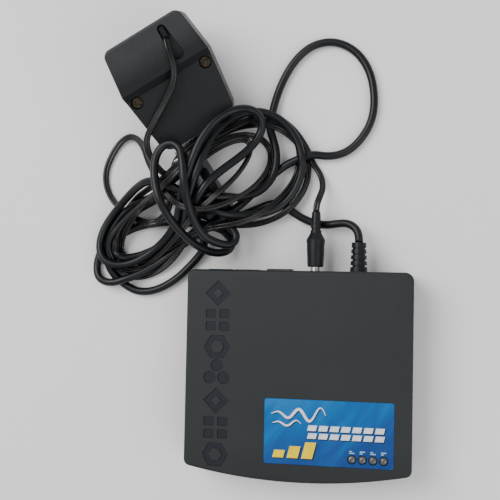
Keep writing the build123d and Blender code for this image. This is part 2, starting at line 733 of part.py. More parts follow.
with BuildPart() as adapter_back:
    with BuildSketch(adapter_plane):
        add(adapter_plan(0))
    extrude(amount=adapter_parting)
    fillet(adapter_back.faces().sort_by(face_axis)[0].edges(), 1.2)
    with BuildSketch(adapter_plane.offset(adapter_parting)):
        add(adapter_plan(adapter_wall + fit_clearance))
        add(adapter_plan(adapter_wall + fit_clearance + lip_thickness), mode=Mode.SUBTRACT)
        with Locations(*screw_places):
            Circle(adapter_post_radius + fit_clearance, mode=Mode.SUBTRACT)
    extrude(amount=lip_height)
    with BuildSketch(adapter_plane.offset(adapter_wall)):
        add(adapter_plan(adapter_wall + fit_clearance + lip_thickness))
    extrude(amount=adapter_thickness, mode=Mode.SUBTRACT)
    with BuildSketch(adapter_plane.offset(adapter_wall)):
        with Locations(*screw_places):
            Circle(adapter_post_radius - 0.4)
    extrude(amount=adapter_parting - adapter_wall)
    with BuildSketch(adapter_plane.offset(adapter_wall)):
        with Locations((0, blade_y)):
            Rectangle(blade_spacing + 8, blade_width + 5)
    extrude(amount=blade_seat - adapter_wall)
    with BuildSketch(adapter_plane.offset(adapter_wall)):
        with Locations(*screw_places):
            Circle(adapter_screw_radius + seat_clearance)
    extrude(amount=adapter_thickness, mode=Mode.SUBTRACT)
    with BuildSketch(adapter_plane):
        with Locations(*blade_places):
            Rectangle(blade_thickness + 2 * seat_clearance, blade_width + 2 * seat_clearance)
    extrude(amount=blade_seat + 1, mode=Mode.SUBTRACT)
save(adapter_back, "adapter_back")

with BuildPart() as adapter_screws:
    with BuildSketch(adapter_plane.offset(screw_seat)):
        with Locations(*screw_places):
            Circle(adapter_screw_head_radius)
    extrude(amount=1.7)
    with BuildSketch(adapter_plane.offset(screw_seat)):
        with Locations(*screw_places):
            Circle(adapter_screw_radius)
    extrude(amount=-(screw_seat - adapter_parting + 9))
    with BuildSketch(adapter_plane.offset(screw_seat + 1.7)):
        with Locations(*screw_places):
            Rectangle(3.4, 0.8, rotation=30)
            Rectangle(0.8, 3.4, rotation=30)
    extrude(amount=-0.9, mode=Mode.SUBTRACT)
save(adapter_screws, "adapter_screws")

with BuildPart() as adapter_blades:
    with BuildSketch(adapter_plane.offset(blade_seat + 2)):
        with Locations(*blade_places):
            Rectangle(blade_thickness, blade_width)
    extrude(amount=-(blade_seat + 2 + blade_length))
save(adapter_blades, "adapter_blades")

# The transformer: an E-I core round a spool that carries the winding.
core_width = 36.0
core_length = 34.0
core_stack = 15.0
core_limb = 6.5
core_y = 23.0
core_mid = 14.6
leg_width = 2 * core_limb
window_width = (core_width - leg_width) / 2 - core_limb
window_length = core_length - 2 * core_limb
spool_wall = 0.8
winding_depth = window_width - spool_wall - 0.6
core_plane = adapter_plane.offset(core_mid - core_stack / 2)
with BuildPart() as transformer_core:
    with BuildSketch(core_plane):
        with Locations((0, core_y)):
            Rectangle(core_width, core_length)
            with GridLocations(leg_width + window_width, 1, 2, 1):
                Rectangle(window_width, window_length, mode=Mode.SUBTRACT)
    extrude(amount=core_stack)
save(transformer_core, "transformer_core")

spool_gap = 0.1
spool_inner = leg_width + 2 * spool_gap
spool_inner_height = core_stack + 2 * spool_gap
winding_length = window_length - 2 * spool_wall - 0.4
winding_height = 3.8


def square_ring(inner_x, inner_z, thick_x, thick_z, length):
    """A square tube round the middle limb, along the limb's length."""
    mid = adapter_plane.from_local_coords(Vector(0, core_y, core_mid))
    ring_plane = Plane(origin=mid, x_dir=adapter_plane.x_dir, z_dir=adapter_plane.y_dir)
    with BuildPart() as ring:
        with BuildSketch(ring_plane):
            Rectangle(inner_x + 2 * thick_x, inner_z + 2 * thick_z)
            Rectangle(inner_x, inner_z, mode=Mode.SUBTRACT)
        extrude(amount=length / 2, both=True)
    return ring.part


with BuildPart() as transformer_spool:
    add(square_ring(spool_inner, spool_inner_height, spool_wall, spool_wall, winding_length + 2 * spool_wall))
    add(square_ring(
        spool_inner, spool_inner_height, spool_wall + winding_depth, spool_wall + winding_height,
        winding_length + 2 * spool_wall,
    ))
    add(square_ring(
        spool_inner + 2 * spool_wall, spool_inner_height + 2 * spool_wall, winding_depth + 1,
        winding_height + 1, winding_length,
    ), mode=Mode.SUBTRACT)
save(transformer_spool, "transformer_spool")

with BuildPart() as transformer_winding:
    add(square_ring(
        spool_inner + 2 * spool_wall, spool_inner_height + 2 * spool_wall, winding_depth - 0.3,
        winding_height - 0.4, winding_length - 0.1,
    ))
save(transformer_winding, "transformer_winding")

grommet_radius = 2.2
with BuildPart() as adapter_grommet:
    with BuildSketch(Plane(
        origin=adapter_plane.from_local_coords(
            Vector(cord_slot_top[0], cord_slot_top[1] + 1.0, adapter_thickness - slot_depth + grommet_radius + 0.1)
        ),
        x_dir=adapter_plane.x_dir, z_dir=-adapter_plane.y_dir,
    )):
        Circle(grommet_radius)
    extrude(amount=6.0)
    fillet(adapter_grommet.faces().sort_by(length_axis)[0].edges(), 0.6)
save(adapter_grommet, "adapter_grommet")

# ========================================================= serial connector
# A nine-way connector that stands on the narrow side of its hood.  Its own
# plane has X up along the hood's width and Z out of its mating face.
mating_way = Vector(math.cos(math.radians(connector_heading)), math.sin(math.radians(connector_heading)), 0)
connector_plane = Plane(
    origin=(connector_front[0], connector_front[1], hood_width / 2), x_dir=(0, 0, 1), z_dir=mating_way,
)
half_hood = hood_thickness / 2
thumbscrew_places = [(-thumbscrew_spacing / 2, 0), (thumbscrew_spacing / 2, 0)]
shell_width = 16.9
shell_height = 8.4
shell_reach = 5.8
flange_thickness = 1.0
knob_start = hood_ear_length + 0.6
cable_hole_radius = serial_diameter / 2 + 0.1


def hood_half(side):
    """One half of the hood: side is +1 or -1 across its thickness."""
    with BuildPart() as half:
        with BuildSketch(connector_plane):
            with Locations((0, side * half_hood / 2)):
                Rectangle(hood_width, half_hood)
        extrude(amount=-hood_ear_length)
        with BuildSketch(connector_plane):
            with Locations((0, side * half_hood / 2)):
                Rectangle(hood_body_width, half_hood)
        extrude(amount=-hood_length)
        outer = half.faces().sort_by(Axis((0, 0, 0), connector_plane.y_dir))[-1 if side > 0 else 0]
        fillet(outer.edges(), 1.0)
        with BuildSketch(connector_plane):
            with Locations((0, side * (half_hood - hood_wall) / 2)):
                Rectangle(hood_body_width - 2 * hood_wall, half_hood - hood_wall)
        extrude(amount=-(hood_length - hood_wall), mode=Mode.SUBTRACT)
        with BuildSketch(connector_plane):
            with Locations(*thumbscrew_places):
                Circle(thumbscrew_radius + running_clearance)
            Circle(cable_hole_radius)
        extrude(amount=-2 * hood_length, mode=Mode.SUBTRACT)
    return half.part


for name, side in (("hood_half_near", 1), ("hood_half_far", -1)):
    with BuildPart() as half:
        add(hood_half(side))
    save(half, name)

with BuildPart() as connector_shell:
    with BuildSketch(connector_plane):
        RectangleRounded(hood_width - 2.2, hood_thickness - 2.9, 1.0)
        with Locations(*thumbscrew_places):
            Circle(thumbscrew_radius + running_clearance, mode=Mode.SUBTRACT)
    extrude(amount=flange_thickness)
    with BuildSketch(connector_plane.offset(flange_thickness)):
        RectangleRounded(shell_width, shell_height, 2.6)
    extrude(amount=shell_reach)
    with BuildSketch(connector_plane):
        RectangleRounded(shell_width - 1.0, shell_height - 1.0, 2.1)
    extrude(amount=2 * shell_reach, mode=Mode.SUBTRACT)
save(connector_shell, "connector_shell")

with BuildPart() as connector_insert:
    with BuildSketch(connector_plane.offset(-4)):
        RectangleRounded(shell_width - 1.2, shell_height - 1.2, 2.0)
    extrude(amount=4 + flange_thickness + shell_reach - 0.4)
    with BuildSketch(connector_plane.offset(flange_thickness + shell_reach)):
        with Locations((0, 1.42)):
            with GridLocations(2.77, 1, 5, 1):
                Circle(0.6)
        with Locations((0, -1.42)):
            with GridLocations(2.77, 1, 4, 1):
                Circle(0.6)
    extrude(amount=-5, mode=Mode.SUBTRACT)
save(connector_insert, "connector_insert")

thumbscrew_tip = 5.4
for name, place in zip(("thumbscrew_low", "thumbscrew_high"), thumbscrew_places):
    with BuildPart() as thumbscrew:
        with BuildSketch(connector_plane.offset(-knob_start)):
            with Locations(place):
                Circle(thumbscrew_knob_radius)
                with PolarLocations(thumbscrew_knob_radius + 0.25, 12):
                    Circle(0.5, mode=Mode.SUBTRACT)
        extrude(amount=-thumbscrew_knob_length)
        with BuildSketch(connector_plane.offset(thumbscrew_tip)):
            with Locations(place):
                Circle(thumbscrew_radius)
        extrude(amount=-(thumbscrew_tip + knob_start))
        with BuildSketch(connector_plane.offset(-knob_start - thumbscrew_knob_length)):
            with Locations(place):
                Rectangle(2 * thumbscrew_knob_radius, 0.9)
        extrude(amount=1.4, mode=Mode.SUBTRACT)
    save(thumbscrew, name)

# ==================================================================== cords
serial_lead_points = [
    (33.5, 77.0, 13.0), (33.5, 81.7, 13.0), (30.8, 86.2, 11.6), (26.1, 88.7, 9.3), (20.0, 88.4, 6.6),
    (13.0, 87.6, 4.1), (5.5, 89.0, 2.9), (-2.0, 92.3, 2.9), (-8.5, 96.6, 3.4), (-14.0, 101.5, 4.4),
]
serial_loop_points = [
    (4.5, 130.2, 5.2), (14.0, 128.6, 2.9), (25.0, 131.0, 2.7), (34.0, 139.5, 2.7),
    (40.0, 151.0, 2.7), (41.0, 165.0, 2.7), (38.0, 180.0, 2.7), (30.0, 192.0, 2.7), (17.5, 198.5, 2.7),
    (4.5, 197.0, 2.7), (-5.5, 189.5, 2.7), (-13.0, 178.0, 2.7), (-18.0, 165.0, 3.2), (-20.5, 152.5, 5.0),
    (-21.3, 146.0, 7.0),
]
serial_low_points = [
    (-59.5, 73.0, 5.0), (-67.5, 64.0, 2.7), (-77.5, 54.0, 2.7), (-89.5, 47.0, 2.7), (-101.0, 45.5, 2.7),
    (-108.5, 48.6, 2.8),
]
power_lead_points = [
    (8.3, 94.8, 12.0), (8.3, 98.8, 12.0), (10.0, 103.8, 10.4), (11.6, 109.0, 7.2), (10.8, 114.8, 4.2),
    (8.4, 120.0, 2.4), (5.0, 124.4, 2.4),
]
power_tail_points = [
    (-74.2, 189.5, 50.8), (-73.1, 184.2, 51.4), (-71.0, 178.0, 49.6), (-69.8, 170.0, 46.8), (-72.6, 161.8, 43.0),
    (-78.5, 152.6, 39.6), (-84.5, 143.5, 37.2), (-89.5, 135.0, 34.5), (-88.8, 127.5, 32.6), (-84.5, 120.5, 31.4),
    (-79.0, 114.5, 30.8),
]
power_side_points = [
    (-76.5, 102.0, 28.5), (-82.0, 109.0, 28.0), (-87.5, 117.0, 25.0), (-92.8, 125.0, 20.0),
    (-97.0, 132.8, 13.5), (-102.5, 139.5, 7.5), (-109.5, 142.5, 3.5), (-116.0, 139.0, 2.0),
    (-121.0, 131.5, 1.9), (-125.0, 122.0, 1.9), (-125.0, 112.0, 1.9), (-121.0, 103.0, 2.0),
    (-113.5, 96.0, 3.0), (-104.5, 91.0, 5.0),
]


def cord_tube(name, points, diameter):
    """A round cord along straight runs joined by arcs as large as they allow."""
    places = [Vector(*point) for point in points]
    radii = []
    for before, corner, after in zip(places, places[1:], places[2:]):
        half_turn = math.radians((corner - before).get_angle(after - corner) / 2)
        shorter = min((corner - before).length, (after - corner).length)
        radii.append(0.45 * shorter / math.tan(half_turn))
    with BuildPart() as tube:
        with BuildLine() as route:
            FilletPolyline(*places, radius=radii)
        path = route.wires()[0]
        with BuildSketch(Plane(origin=path @ 0, z_dir=path % 0)):
            Circle(diameter / 2)
        sweep()
    expected = math.pi * diameter ** 2 / 4 * path.length
    print(name, "length %.0f" % path.length, "least radius %.1f" % min(radii))
    print("  volume against section times length %.4f" % (tube.part.volume / expected))
    save(tube, name)


cord_tube("serial_lead", serial_lead_points, serial_diameter)
cord_tube("serial_loop", serial_loop_points, serial_diameter)
cord_tube("serial_low_loop", serial_low_points, serial_diameter)
cord_tube("power_lead", power_lead_points, power_cord_diameter)
cord_tube("power_tail", power_tail_points, power_cord_diameter)
cord_tube("power_side_loop", power_side_points, power_cord_diameter)

# The hank: both cords folded to and fro and bound about the middle.  Its outer
# shape is cut into the right lobe, the bound waist and the left lobe.
hank_heading = 32.0
hank_waist_centre = (-64.0, 99.0)
waist_half = 13.0
hank_along = Vector(math.cos(math.radians(hank_heading)), math.sin(math.radians(hank_heading)), 0)
hank_plane = Plane(origin=(hank_waist_centre[0], hank_waist_centre[1], 0), x_dir=hank_along, z_dir=(0, 0, 1))
hank_side_plane = Plane(origin=hank_plane.origin, x_dir=hank_along, z_dir=-hank_plane.y_dir)


def slope_cut(points):
    """Keep of the active part what lies between the side view's outline."""
    with BuildSketch(hank_side_plane) as side_view:
        with BuildLine():
            Polyline(*points, close=True)
        make_face()
    extrude(side_view.sketch, amount=120, both=True, mode=Mode.INTERSECT)


def clear_of_adapter():
    """Cut the active part back from the adapter and its leaning blades."""
    with BuildSketch(adapter_plane.offset(-20)) as footprint:
        add(adapter_plan(0))
        offset(amount=0.6)
    extrude(footprint.sketch, amount=20 + low_face + 0.6, mode=Mode.SUBTRACT)


def clear_of_connector():
    """Cut the active part back from the standing connector."""
    with BuildSketch(connector_plane.offset(shell_reach + flange_thickness + 1)) as section:
        Rectangle(hood_width + 1.2, hood_thickness + 1.2)
    extrude(section.sketch, amount=-(hood_length + shell_reach + 14), mode=Mode.SUBTRACT)


with BuildPart() as hank_right:
    with BuildSketch(hank_plane):
        with Locations((42, -2)):
            Ellipse(36, 31)
        with Locations((10, 4)):
            Circle(19)
        make_hull()
        with Locations((-50 + waist_half, 0)):
            Rectangle(100, 200, mode=Mode.SUBTRACT)
    extrude(amount=70)
    slope_cut([(0, 34.5), (20, 32), (38, 0), (90, 0), (90, 12), (60, 22), (30, 45), (0, 50)])
    clear_of_adapter()
    clear_of_connector()
save(hank_right, "hank_right")

with BuildPart() as hank_waist:
    with BuildSketch(hank_plane):
        with Locations((2.8, -2)):
            SlotOverall(68, 2 * waist_half + 4, rotation=74)
        with Locations((50 + waist_half, 0), (-50 - waist_half, 0)):
            Rectangle(100, 200, mode=Mode.SUBTRACT)
    extrude(amount=50)
    clear_of_adapter()
    clear_of_connector()
save(hank_waist, "hank_waist")

with BuildPart() as hank_left:
    with BuildSketch(hank_plane):
        with Locations((-12, 2)):
            Circle(18)
        with Locations((-72, -8)):
            Circle(12)
        with Locations((-58, 8)):
            Circle(8)
        make_hull()
        with Locations((50 - waist_half, 0)):
            Rectangle(100, 200, mode=Mode.SUBTRACT)
    extrude(amount=60)
    slope_cut([(0, 8), (-24, 2), (-48, 0), (-95, 0), (-95, 8), (-60, 16), (0, 44)])
save(hank_left, "hank_left")
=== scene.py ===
# %% [markdown]
# # A dial-up modem, its two cords and its wall adapter
# The hard pieces come from the CAD frame and stay as they are.  What is left for Blender is everything
# a CAD tool does badly: a tangled hank of two cords, the print on the label, and finishes that read as
# moulded plastic, rubber, plating and brass.  We start with the frame, because every piece hangs on it.

# %% Load the frame
import bpy
import math
import numpy as np
from mathutils import Matrix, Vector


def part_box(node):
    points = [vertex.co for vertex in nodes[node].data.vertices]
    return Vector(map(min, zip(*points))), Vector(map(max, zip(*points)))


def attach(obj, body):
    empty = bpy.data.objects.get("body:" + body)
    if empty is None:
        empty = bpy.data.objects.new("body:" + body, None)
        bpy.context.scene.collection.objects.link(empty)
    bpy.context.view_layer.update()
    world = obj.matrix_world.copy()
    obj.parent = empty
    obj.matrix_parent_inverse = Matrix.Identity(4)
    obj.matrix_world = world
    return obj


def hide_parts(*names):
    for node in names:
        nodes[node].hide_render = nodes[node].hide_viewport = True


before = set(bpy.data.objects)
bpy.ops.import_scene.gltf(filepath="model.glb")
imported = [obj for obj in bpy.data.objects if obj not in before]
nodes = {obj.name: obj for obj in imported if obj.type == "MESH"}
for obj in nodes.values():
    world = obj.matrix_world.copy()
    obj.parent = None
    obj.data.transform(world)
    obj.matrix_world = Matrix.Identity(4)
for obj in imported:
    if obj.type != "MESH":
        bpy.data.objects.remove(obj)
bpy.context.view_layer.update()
MM = 0.001

# %% [markdown]
# ## Camera, floor and light
# The modem is looked at from almost straight above.  A camera is easiest to place from three unit vectors:
# where its right, its up and its back point.  They are the columns of its matrix.  The floor is one pale
# plane, and two broad lamps and a bright sky keep the shadows soft, so that black plastic keeps its shape.

# %% Camera
camera_data = bpy.data.cameras.new("camera")
camera_data.sensor_width = 36.0
camera_data.lens = 61.69
camera_data.clip_start = 0.01
camera = bpy.data.objects.new("camera", camera_data)
bpy.context.scene.collection.objects.link(camera)
right, up, back = (0.9844, 0.0203, -0.1750), (-0.0127, 0.9989, 0.0447), (0.1757, -0.0418, 0.9836)
place = (0.05855, 0.05079, 0.51145)
camera.matrix_world = Matrix([(right[i], up[i], back[i], place[i]) for i in range(3)] + [(0, 0, 0, 1)])
bpy.context.scene.camera = camera
print("camera", place, "lens", camera_data.lens)


# %% [markdown]
# ## Small helpers for nodes
# Every finish needs the same few nodes: a cloud of noise, a ramp that colours it, a mix and a bump. They
# could be placed by hand for each material, but short helpers keep each finish readable, and each returns
# a socket that the next one can use.

# %% Node helpers for every material
def new_material(name):
    """A named material with its node tree, its shader and a short way to add nodes and links."""
    material = bpy.data.materials.new(name)
    material.use_nodes = True
    tree = material.node_tree
    shader = tree.nodes["Principled BSDF"]

    def add(kind, **inputs):
        node = tree.nodes.new("ShaderNode" + kind)
        for key, value in inputs.items():
            node.inputs[key.replace("_", " ")].default_value = value
        return node

    return material, tree, shader, add


def place_nodes(tree, add):
    """The piece's own coordinates, which are metres in the row frame."""
    return add("TexCoord").outputs["Object"]


def noise(tree, add, where, scale, detail=3.0, roughness=0.55):
    """Cloudy grey values with one patch about every 1 / scale metres."""
    node = add("TexNoise", Scale=scale, Detail=detail, Roughness=roughness)
    tree.links.new(where, node.inputs["Vector"])
    return node.outputs["Fac"]


def ramp(tree, add, value, stops):
    """Turn a grey value into colours, given as (position, (r, g, b)) pairs."""
    node = add("ValToRGB")
    points = node.color_ramp.elements
    while len(points) < len(stops):
        points.new(0.5)
    for point, (position, colour) in zip(points, stops):
        point.position = position
        point.color = (*colour, 1.0)
    tree.links.new(value, node.inputs["Fac"])
    return node.outputs["Color"]


def blend(tree, add, factor, first, second):
    """Mix two colours by a grey value; a colour is an output or a fixed (r, g, b)."""
    node = add("Mix")
    node.data_type = "RGBA"
    tree.links.new(factor, node.inputs["Factor"])
    for socket, colour in (("A", first), ("B", second)):
        target = [s for s in node.inputs if s.name == socket and s.type == "RGBA"][0]
        if isinstance(colour, tuple):
            target.default_value = (*colour, 1.0)
        else:
            tree.links.new(colour, target)
    return [s for s in node.outputs if s.type == "RGBA"][0]


def span(tree, add, value, low, high, to_low, to_high):
    """Stretch a grey value from one range to another, held at its ends."""
    node = add("MapRange")
    node.inputs["From Min"].default_value = low
    node.inputs["From Max"].default_value = high
    node.inputs["To Min"].default_value = to_low
    node.inputs["To Max"].default_value = to_high
    tree.links.new(value, node.inputs["Value"])
    return node.outputs["Result"]


def bump(tree, add, shader, height, depth, strength=1.0, under=None):
    """Dents of a given depth in metres, one layer on another if under is given."""
    node = add("Bump", Strength=strength, Distance=depth)
    tree.links.new(height, node.inputs["Height"])
    if under is not None:
        tree.links.new(under, node.inputs["Normal"])
    tree.links.new(node.outputs["Normal"], shader.inputs["Normal"])
    return node.outputs["Normal"]


# %% [markdown]
# ## Floor, sky and lamps
# A plain pale floor takes the shadows and says nothing of its own. Area lamps are used because their size
# softens a shadow's edge; sun or point lamps would leave hard ones on black plastic.

# %% Floor, sky and lamps
def plain_floor():
    """A square plane under the object, pale and faintly mottled."""
    half = 3.0
    mesh = bpy.data.meshes.new("floor")
    mesh.from_pydata([(-half, -half, 0), (half, -half, 0), (half, half, 0), (-half, half, 0)], [],
                     [(0, 1, 2, 3)])
    floor = bpy.data.objects.new("floor", mesh)
    bpy.context.scene.collection.objects.link(floor)
    material, tree, shader, add = new_material("floor_paper")
    cloud = noise(tree, add, place_nodes(tree, add), 6.0)
    colour = ramp(tree, add, cloud, [(0.3, (0.86, 0.86, 0.86)), (0.7, (0.89, 0.89, 0.89))])
    tree.links.new(colour, shader.inputs["Base Color"])
    shader.inputs["Roughness"].default_value = 0.9
    shader.inputs["Specular IOR Level"].default_value = 0.15
    mesh.materials.append(material)
    return floor


def area_lamp(name, where, aim, size, watts):
    """A square lamp at one point that looks at another."""
    data = bpy.data.lights.new(name, "AREA")
    data.size = size
    data.energy = watts
    lamp = bpy.data.objects.new(name, data)
    away = np.array(where, float) - np.array(aim, float)
    away /= np.linalg.norm(away)
    side = np.cross([0.0, 1.0, 0.0], away)
    side /= np.linalg.norm(side)
    over = np.cross(away, side)
    lamp.matrix_world = Matrix([(side[i], over[i], away[i], where[i]) for i in range(3)] + [(0, 0, 0, 1)])
    bpy.context.scene.collection.objects.link(lamp)
    return lamp


plain_floor()
middle = (-0.02, 0.07, 0.0)
area_lamp("key_lamp", (-0.75, 0.55, 1.15), middle, 0.9, 17.0)
area_lamp("fill_lamp", (0.85, -0.55, 1.0), middle, 1.1, 8.0)
sky = bpy.data.worlds.new("sky")
sky.use_nodes = True
sky.node_tree.nodes["Background"].inputs["Color"].default_value = (1.0, 1.0, 1.0, 1.0)
sky.node_tree.nodes["Background"].inputs["Strength"].default_value = 0.62
bpy.context.scene.world = sky
print("floor, sky and lamps are set")

# %% [markdown]
# ## The cords
# The thick cord is a round serial cable.  It leaves the rear of the modem, takes one big loop on the table,
# and the rest is folded to and fro in a hank that it wraps round twice.  The thin one is a twin lead from
# the wall adapter, folded into the same hank.  A free stretch is a short list of points.
# The turns of the hank are worked out: each is a teardrop that starts and ends at the bound waist.

# %% Free stretches of both cords
serial_lead_points = [  # from the strain relief to the hank
    (0.0335, 0.0770, 0.0130), (0.0335, 0.0817, 0.0130), (0.0308, 0.0862, 0.0116),
    (0.0261, 0.0887, 0.0093), (0.0200, 0.0884, 0.0066), (0.0130, 0.0876, 0.0041),
    (0.0055, 0.0890, 0.0029), (-0.0020, 0.0923, 0.0029), (-0.0085, 0.0966, 0.0034),
    (-0.0140, 0.1015, 0.0044),
]
serial_loop_points = [  # the big loop on the table
    (0.0045, 0.1302, 0.0052), (0.0140, 0.1286, 0.0029), (0.0250, 0.1310, 0.0027),
    (0.0340, 0.1395, 0.0027), (0.0400, 0.1510, 0.0027), (0.0410, 0.1650, 0.0027),
    (0.0380, 0.1800, 0.0027), (0.0300, 0.1920, 0.0027), (0.0175, 0.1985, 0.0027),
    (0.0045, 0.1970, 0.0027), (-0.0055, 0.1895, 0.0027), (-0.0130, 0.1780, 0.0027),
    (-0.0180, 0.1650, 0.0032), (-0.0205, 0.1525, 0.0050), (-0.0213, 0.1460, 0.0070),
]
serial_low_points = [  # low loop beside the hank, by the modem's corner
    (-0.0595, 0.0730, 0.0050), (-0.0675, 0.0640, 0.0027), (-0.0775, 0.0540, 0.0027),
    (-0.0895, 0.0470, 0.0027), (-0.1010, 0.0455, 0.0027), (-0.1085, 0.0486, 0.0028),
]
power_lead_points = [  # from the plug to the hank
    (0.0083, 0.0948, 0.0120), (0.0083, 0.0988, 0.0120), (0.0100, 0.1038, 0.0104),
    (0.0116, 0.1090, 0.0072), (0.0108, 0.1148, 0.0042), (0.0084, 0.1200, 0.0024),
    (0.0050, 0.1244, 0.0024),
]
power_tail_points = [  # from the adapter's grommet, down its face
    (-0.0742, 0.1895, 0.0508), (-0.0731, 0.1842, 0.0514), (-0.0710, 0.1780, 0.0496),
    (-0.0698, 0.1700, 0.0468), (-0.0726, 0.1618, 0.0430), (-0.0785, 0.1526, 0.0396),
    (-0.0845, 0.1435, 0.0372), (-0.0895, 0.1350, 0.0345), (-0.0888, 0.1275, 0.0326),
    (-0.0845, 0.1205, 0.0314), (-0.0790, 0.1145, 0.0308),
]
power_side_points = [  # side loop beyond the hank
    (-0.0765, 0.1020, 0.0285), (-0.0820, 0.1090, 0.0280), (-0.0875, 0.1170, 0.0250),
    (-0.0928, 0.1250, 0.0200), (-0.0970, 0.1328, 0.0135), (-0.1025, 0.1395, 0.0075),
    (-0.1095, 0.1425, 0.0035), (-0.1160, 0.1390, 0.0020), (-0.1210, 0.1315, 0.0019),
    (-0.1250, 0.1220, 0.0019), (-0.1250, 0.1120, 0.0019), (-0.1210, 0.1030, 0.0020),
    (-0.1135, 0.0960, 0.0030), (-0.1045, 0.0910, 0.0050),
]
print("points chosen by hand", sum(len(points) for points in (
    serial_lead_points, serial_loop_points, serial_low_points, power_lead_points, power_tail_points,
    power_side_points)))

# %% [markdown]
# ## Turns of the hank
# The hank has its own plan: x runs along it, from the bound waist into the right lobe, y across it, and z up.
# One turn is a teardrop.  An angle runs once round; the way along the axis is half of one minus its
# cosine, and the way to the side is its sine, pinched at the waist by a power of the sine of half the
# angle.  Turns differ in length, heading and width, because nothing ties them out there.

# %% Plan of the hank
hank_heading = math.radians(32.0)
hank_waist = (-0.064, 0.099)
turn_points = 16


def from_hank(points):
    """Plan points in millimetres to row-frame metres: turn by the heading, then shift to the waist."""
    plan = np.asarray(points, float).reshape(-1, 3) * MM
    cosine, sine = math.cos(hank_heading), math.sin(hank_heading)
    return np.stack([
        hank_waist[0] + cosine * plan[:, 0] - sine * plan[:, 1],
        hank_waist[1] + sine * plan[:, 0] + cosine * plan[:, 1],
        plan[:, 2],
    ], axis=1)


def teardrop(length, heading, out_side, back_side, out_lane, back_lane, near_z, far_z, pinch):
    """One turn out from the waist and back.  Along = length (1 - cos a) / 2.  Sideways = sin a times the
    pinch power of sin(a / 2), scaled to out_side on the way out and back_side on the way back, plus a lane
    that fades towards the tip.  Height goes from near_z at the waist to far_z at the tip."""
    angle = np.linspace(0, 2 * np.pi, turn_points + 2)[1:-1]
    share = (1 - np.cos(angle)) / 2
    outline = np.sin(angle) * np.abs(np.sin(angle / 2)) ** pinch
    fine = np.linspace(0, np.pi, 200)
    outline /= np.max(np.sin(fine) * np.abs(np.sin(fine / 2)) ** pinch)
    outwards = angle < np.pi
    side = np.where(outwards, out_side, -back_side) * outline
    lane = np.where(outwards, out_lane, back_lane) * (1 - share)
    turned = math.radians(heading)
    along = length * share
    return np.stack([
        along * math.cos(turned) - side * math.sin(turned),
        along * math.sin(turned) + side * math.cos(turned) + lane,
        near_z + (far_z - near_z) * share ** 1.1,
    ], axis=1)


# %% Where each cord goes inside the hank
serial_first = [  # in from the floor, once round the left lobe, then out to the big loop
    [(35, -25, 6), (25, -22, 9), (13, -21, 12), (2, -17, 14), (-10, -8, 16)],
    teardrop(83, 186, -15, 6, 14, -5, 14, 5, 0.3),
    [(-6, -14, 18), (6, -19, 20), (20, -17, 18), (36, -10, 12), (52, -6, 7), (65, -8, 5)],
]
serial_second = [  # in from the big loop, twice round both lobes, and down beside the modem
    [(62, 8, 8), (61, -3, 9), (51, -11, 9), (40, -14, 11), (28, -14, 17), (15, -10, 28), (2, -2, 30)],
    teardrop(66, 180, -12, 8, 16, -6, 24, 9, 0.3),
    [(0, 4, 34), (10, 15, 38), (24, 26, 40), (38, 32, 38), (52, 31, 33), (62, 26, 24), (68, 18, 16),
     (71, 5, 11), (71, -6, 8), (66, -15, 7), (58, -22, 7), (47, -26, 7), (35, -26, 10), (24, -22, 18),
     (12, -14, 29), (0, -4, 34)],
    teardrop(72, 179, -12, 6, 20, -2, 30, 8, 0.3),
    [(-2, 5, 38), (8, 14, 41), (17, 23, 43), (26, 30, 43), (36, 34, 41), (46, 34, 38), (56, 31, 33),
     (62, 25, 29), (64, 18, 26), (60, 13, 26), (52, 10, 27), (42, 8, 28), (30, 7, 31), (18, 7, 34),
     (7, 4, 36), (-2, -4, 33), (-7, -13, 22), (-10, -20, 11)],
]
serial_third = [  # round the left end, under the waist, then the first wrap up over it
    [(-66, -14, 4), (-69, -8, 4), (-69, 0, 5), (-64, 7, 7), (-55, 11, 9), (-43, 11, 9), (-30, 5, 8),
     (-16, -3, 7), (-3, -11, 6), (5, -15, 5), (9, -19, 5.5), (11, -24, 7), (10, -30, 9), (5, -34, 13)],
    [(-2, -35, 18), (-8, -32, 26), (-11.5, -25, 34), (-13, -15, 39), (-13.5, -4, 41.5)],
]
hook_points = [  # the top of the two wraps
    (-12.5, 8, 42), (-9, 21, 39.5), (-3, 31, 37.5), (3.5, 34.5, 37), (9.5, 33.5, 37), (12.5, 28, 37.5),
    (10.5, 21, 39.5),
]
serial_fourth = [  # the second wrap, down to the connector
    [(6.5, 13, 42), (2.5, 5, 42.5), (-1, -3, 41.5), (-2.5, -12, 37), (-2, -20, 31), (0, -27, 25.5)],
]
hood_entry = [
    (3.5, -31.5, 21), (8, -33, 18), (11.8, -30.5, 16.8), (12, -26.5, 16.5), (11, -22.5, 16.5),
    (11, -18, 16.5), (11, -13, 16.5),
]
power_first = [  # from the plug's lead, along the right lobe's edge, then twice round each lobe
    [(73, -6, 2.6), (73, 4, 4), (70, 13, 7), (64, 20, 11), (55, 24, 17), (42, 25, 25), (29, 23, 32),
     (16, 20, 37), (4, 18, 35)],
    teardrop(69, 182, -16, 16, 12, -6, 28, 3, 0.3),
    [(-4, -14, 14), (8, -21, 14)],
    teardrop(75, -5, -22, 24, -12, 20, 18, 4, 0.4)[1:],
    [(-4, 16, 34)],
    teardrop(62, 182, -12, 10, 12, -4, 30, 7, 0.3),
    [(2, -10, 30)],
    teardrop(73, 2, -21, 22, -12, 16, 26, 6, 0.4)[1:],
    [(-3, 8, 37), (-14, 3, 28), (-26, 3, 21), (-34, 6, 17)],
]
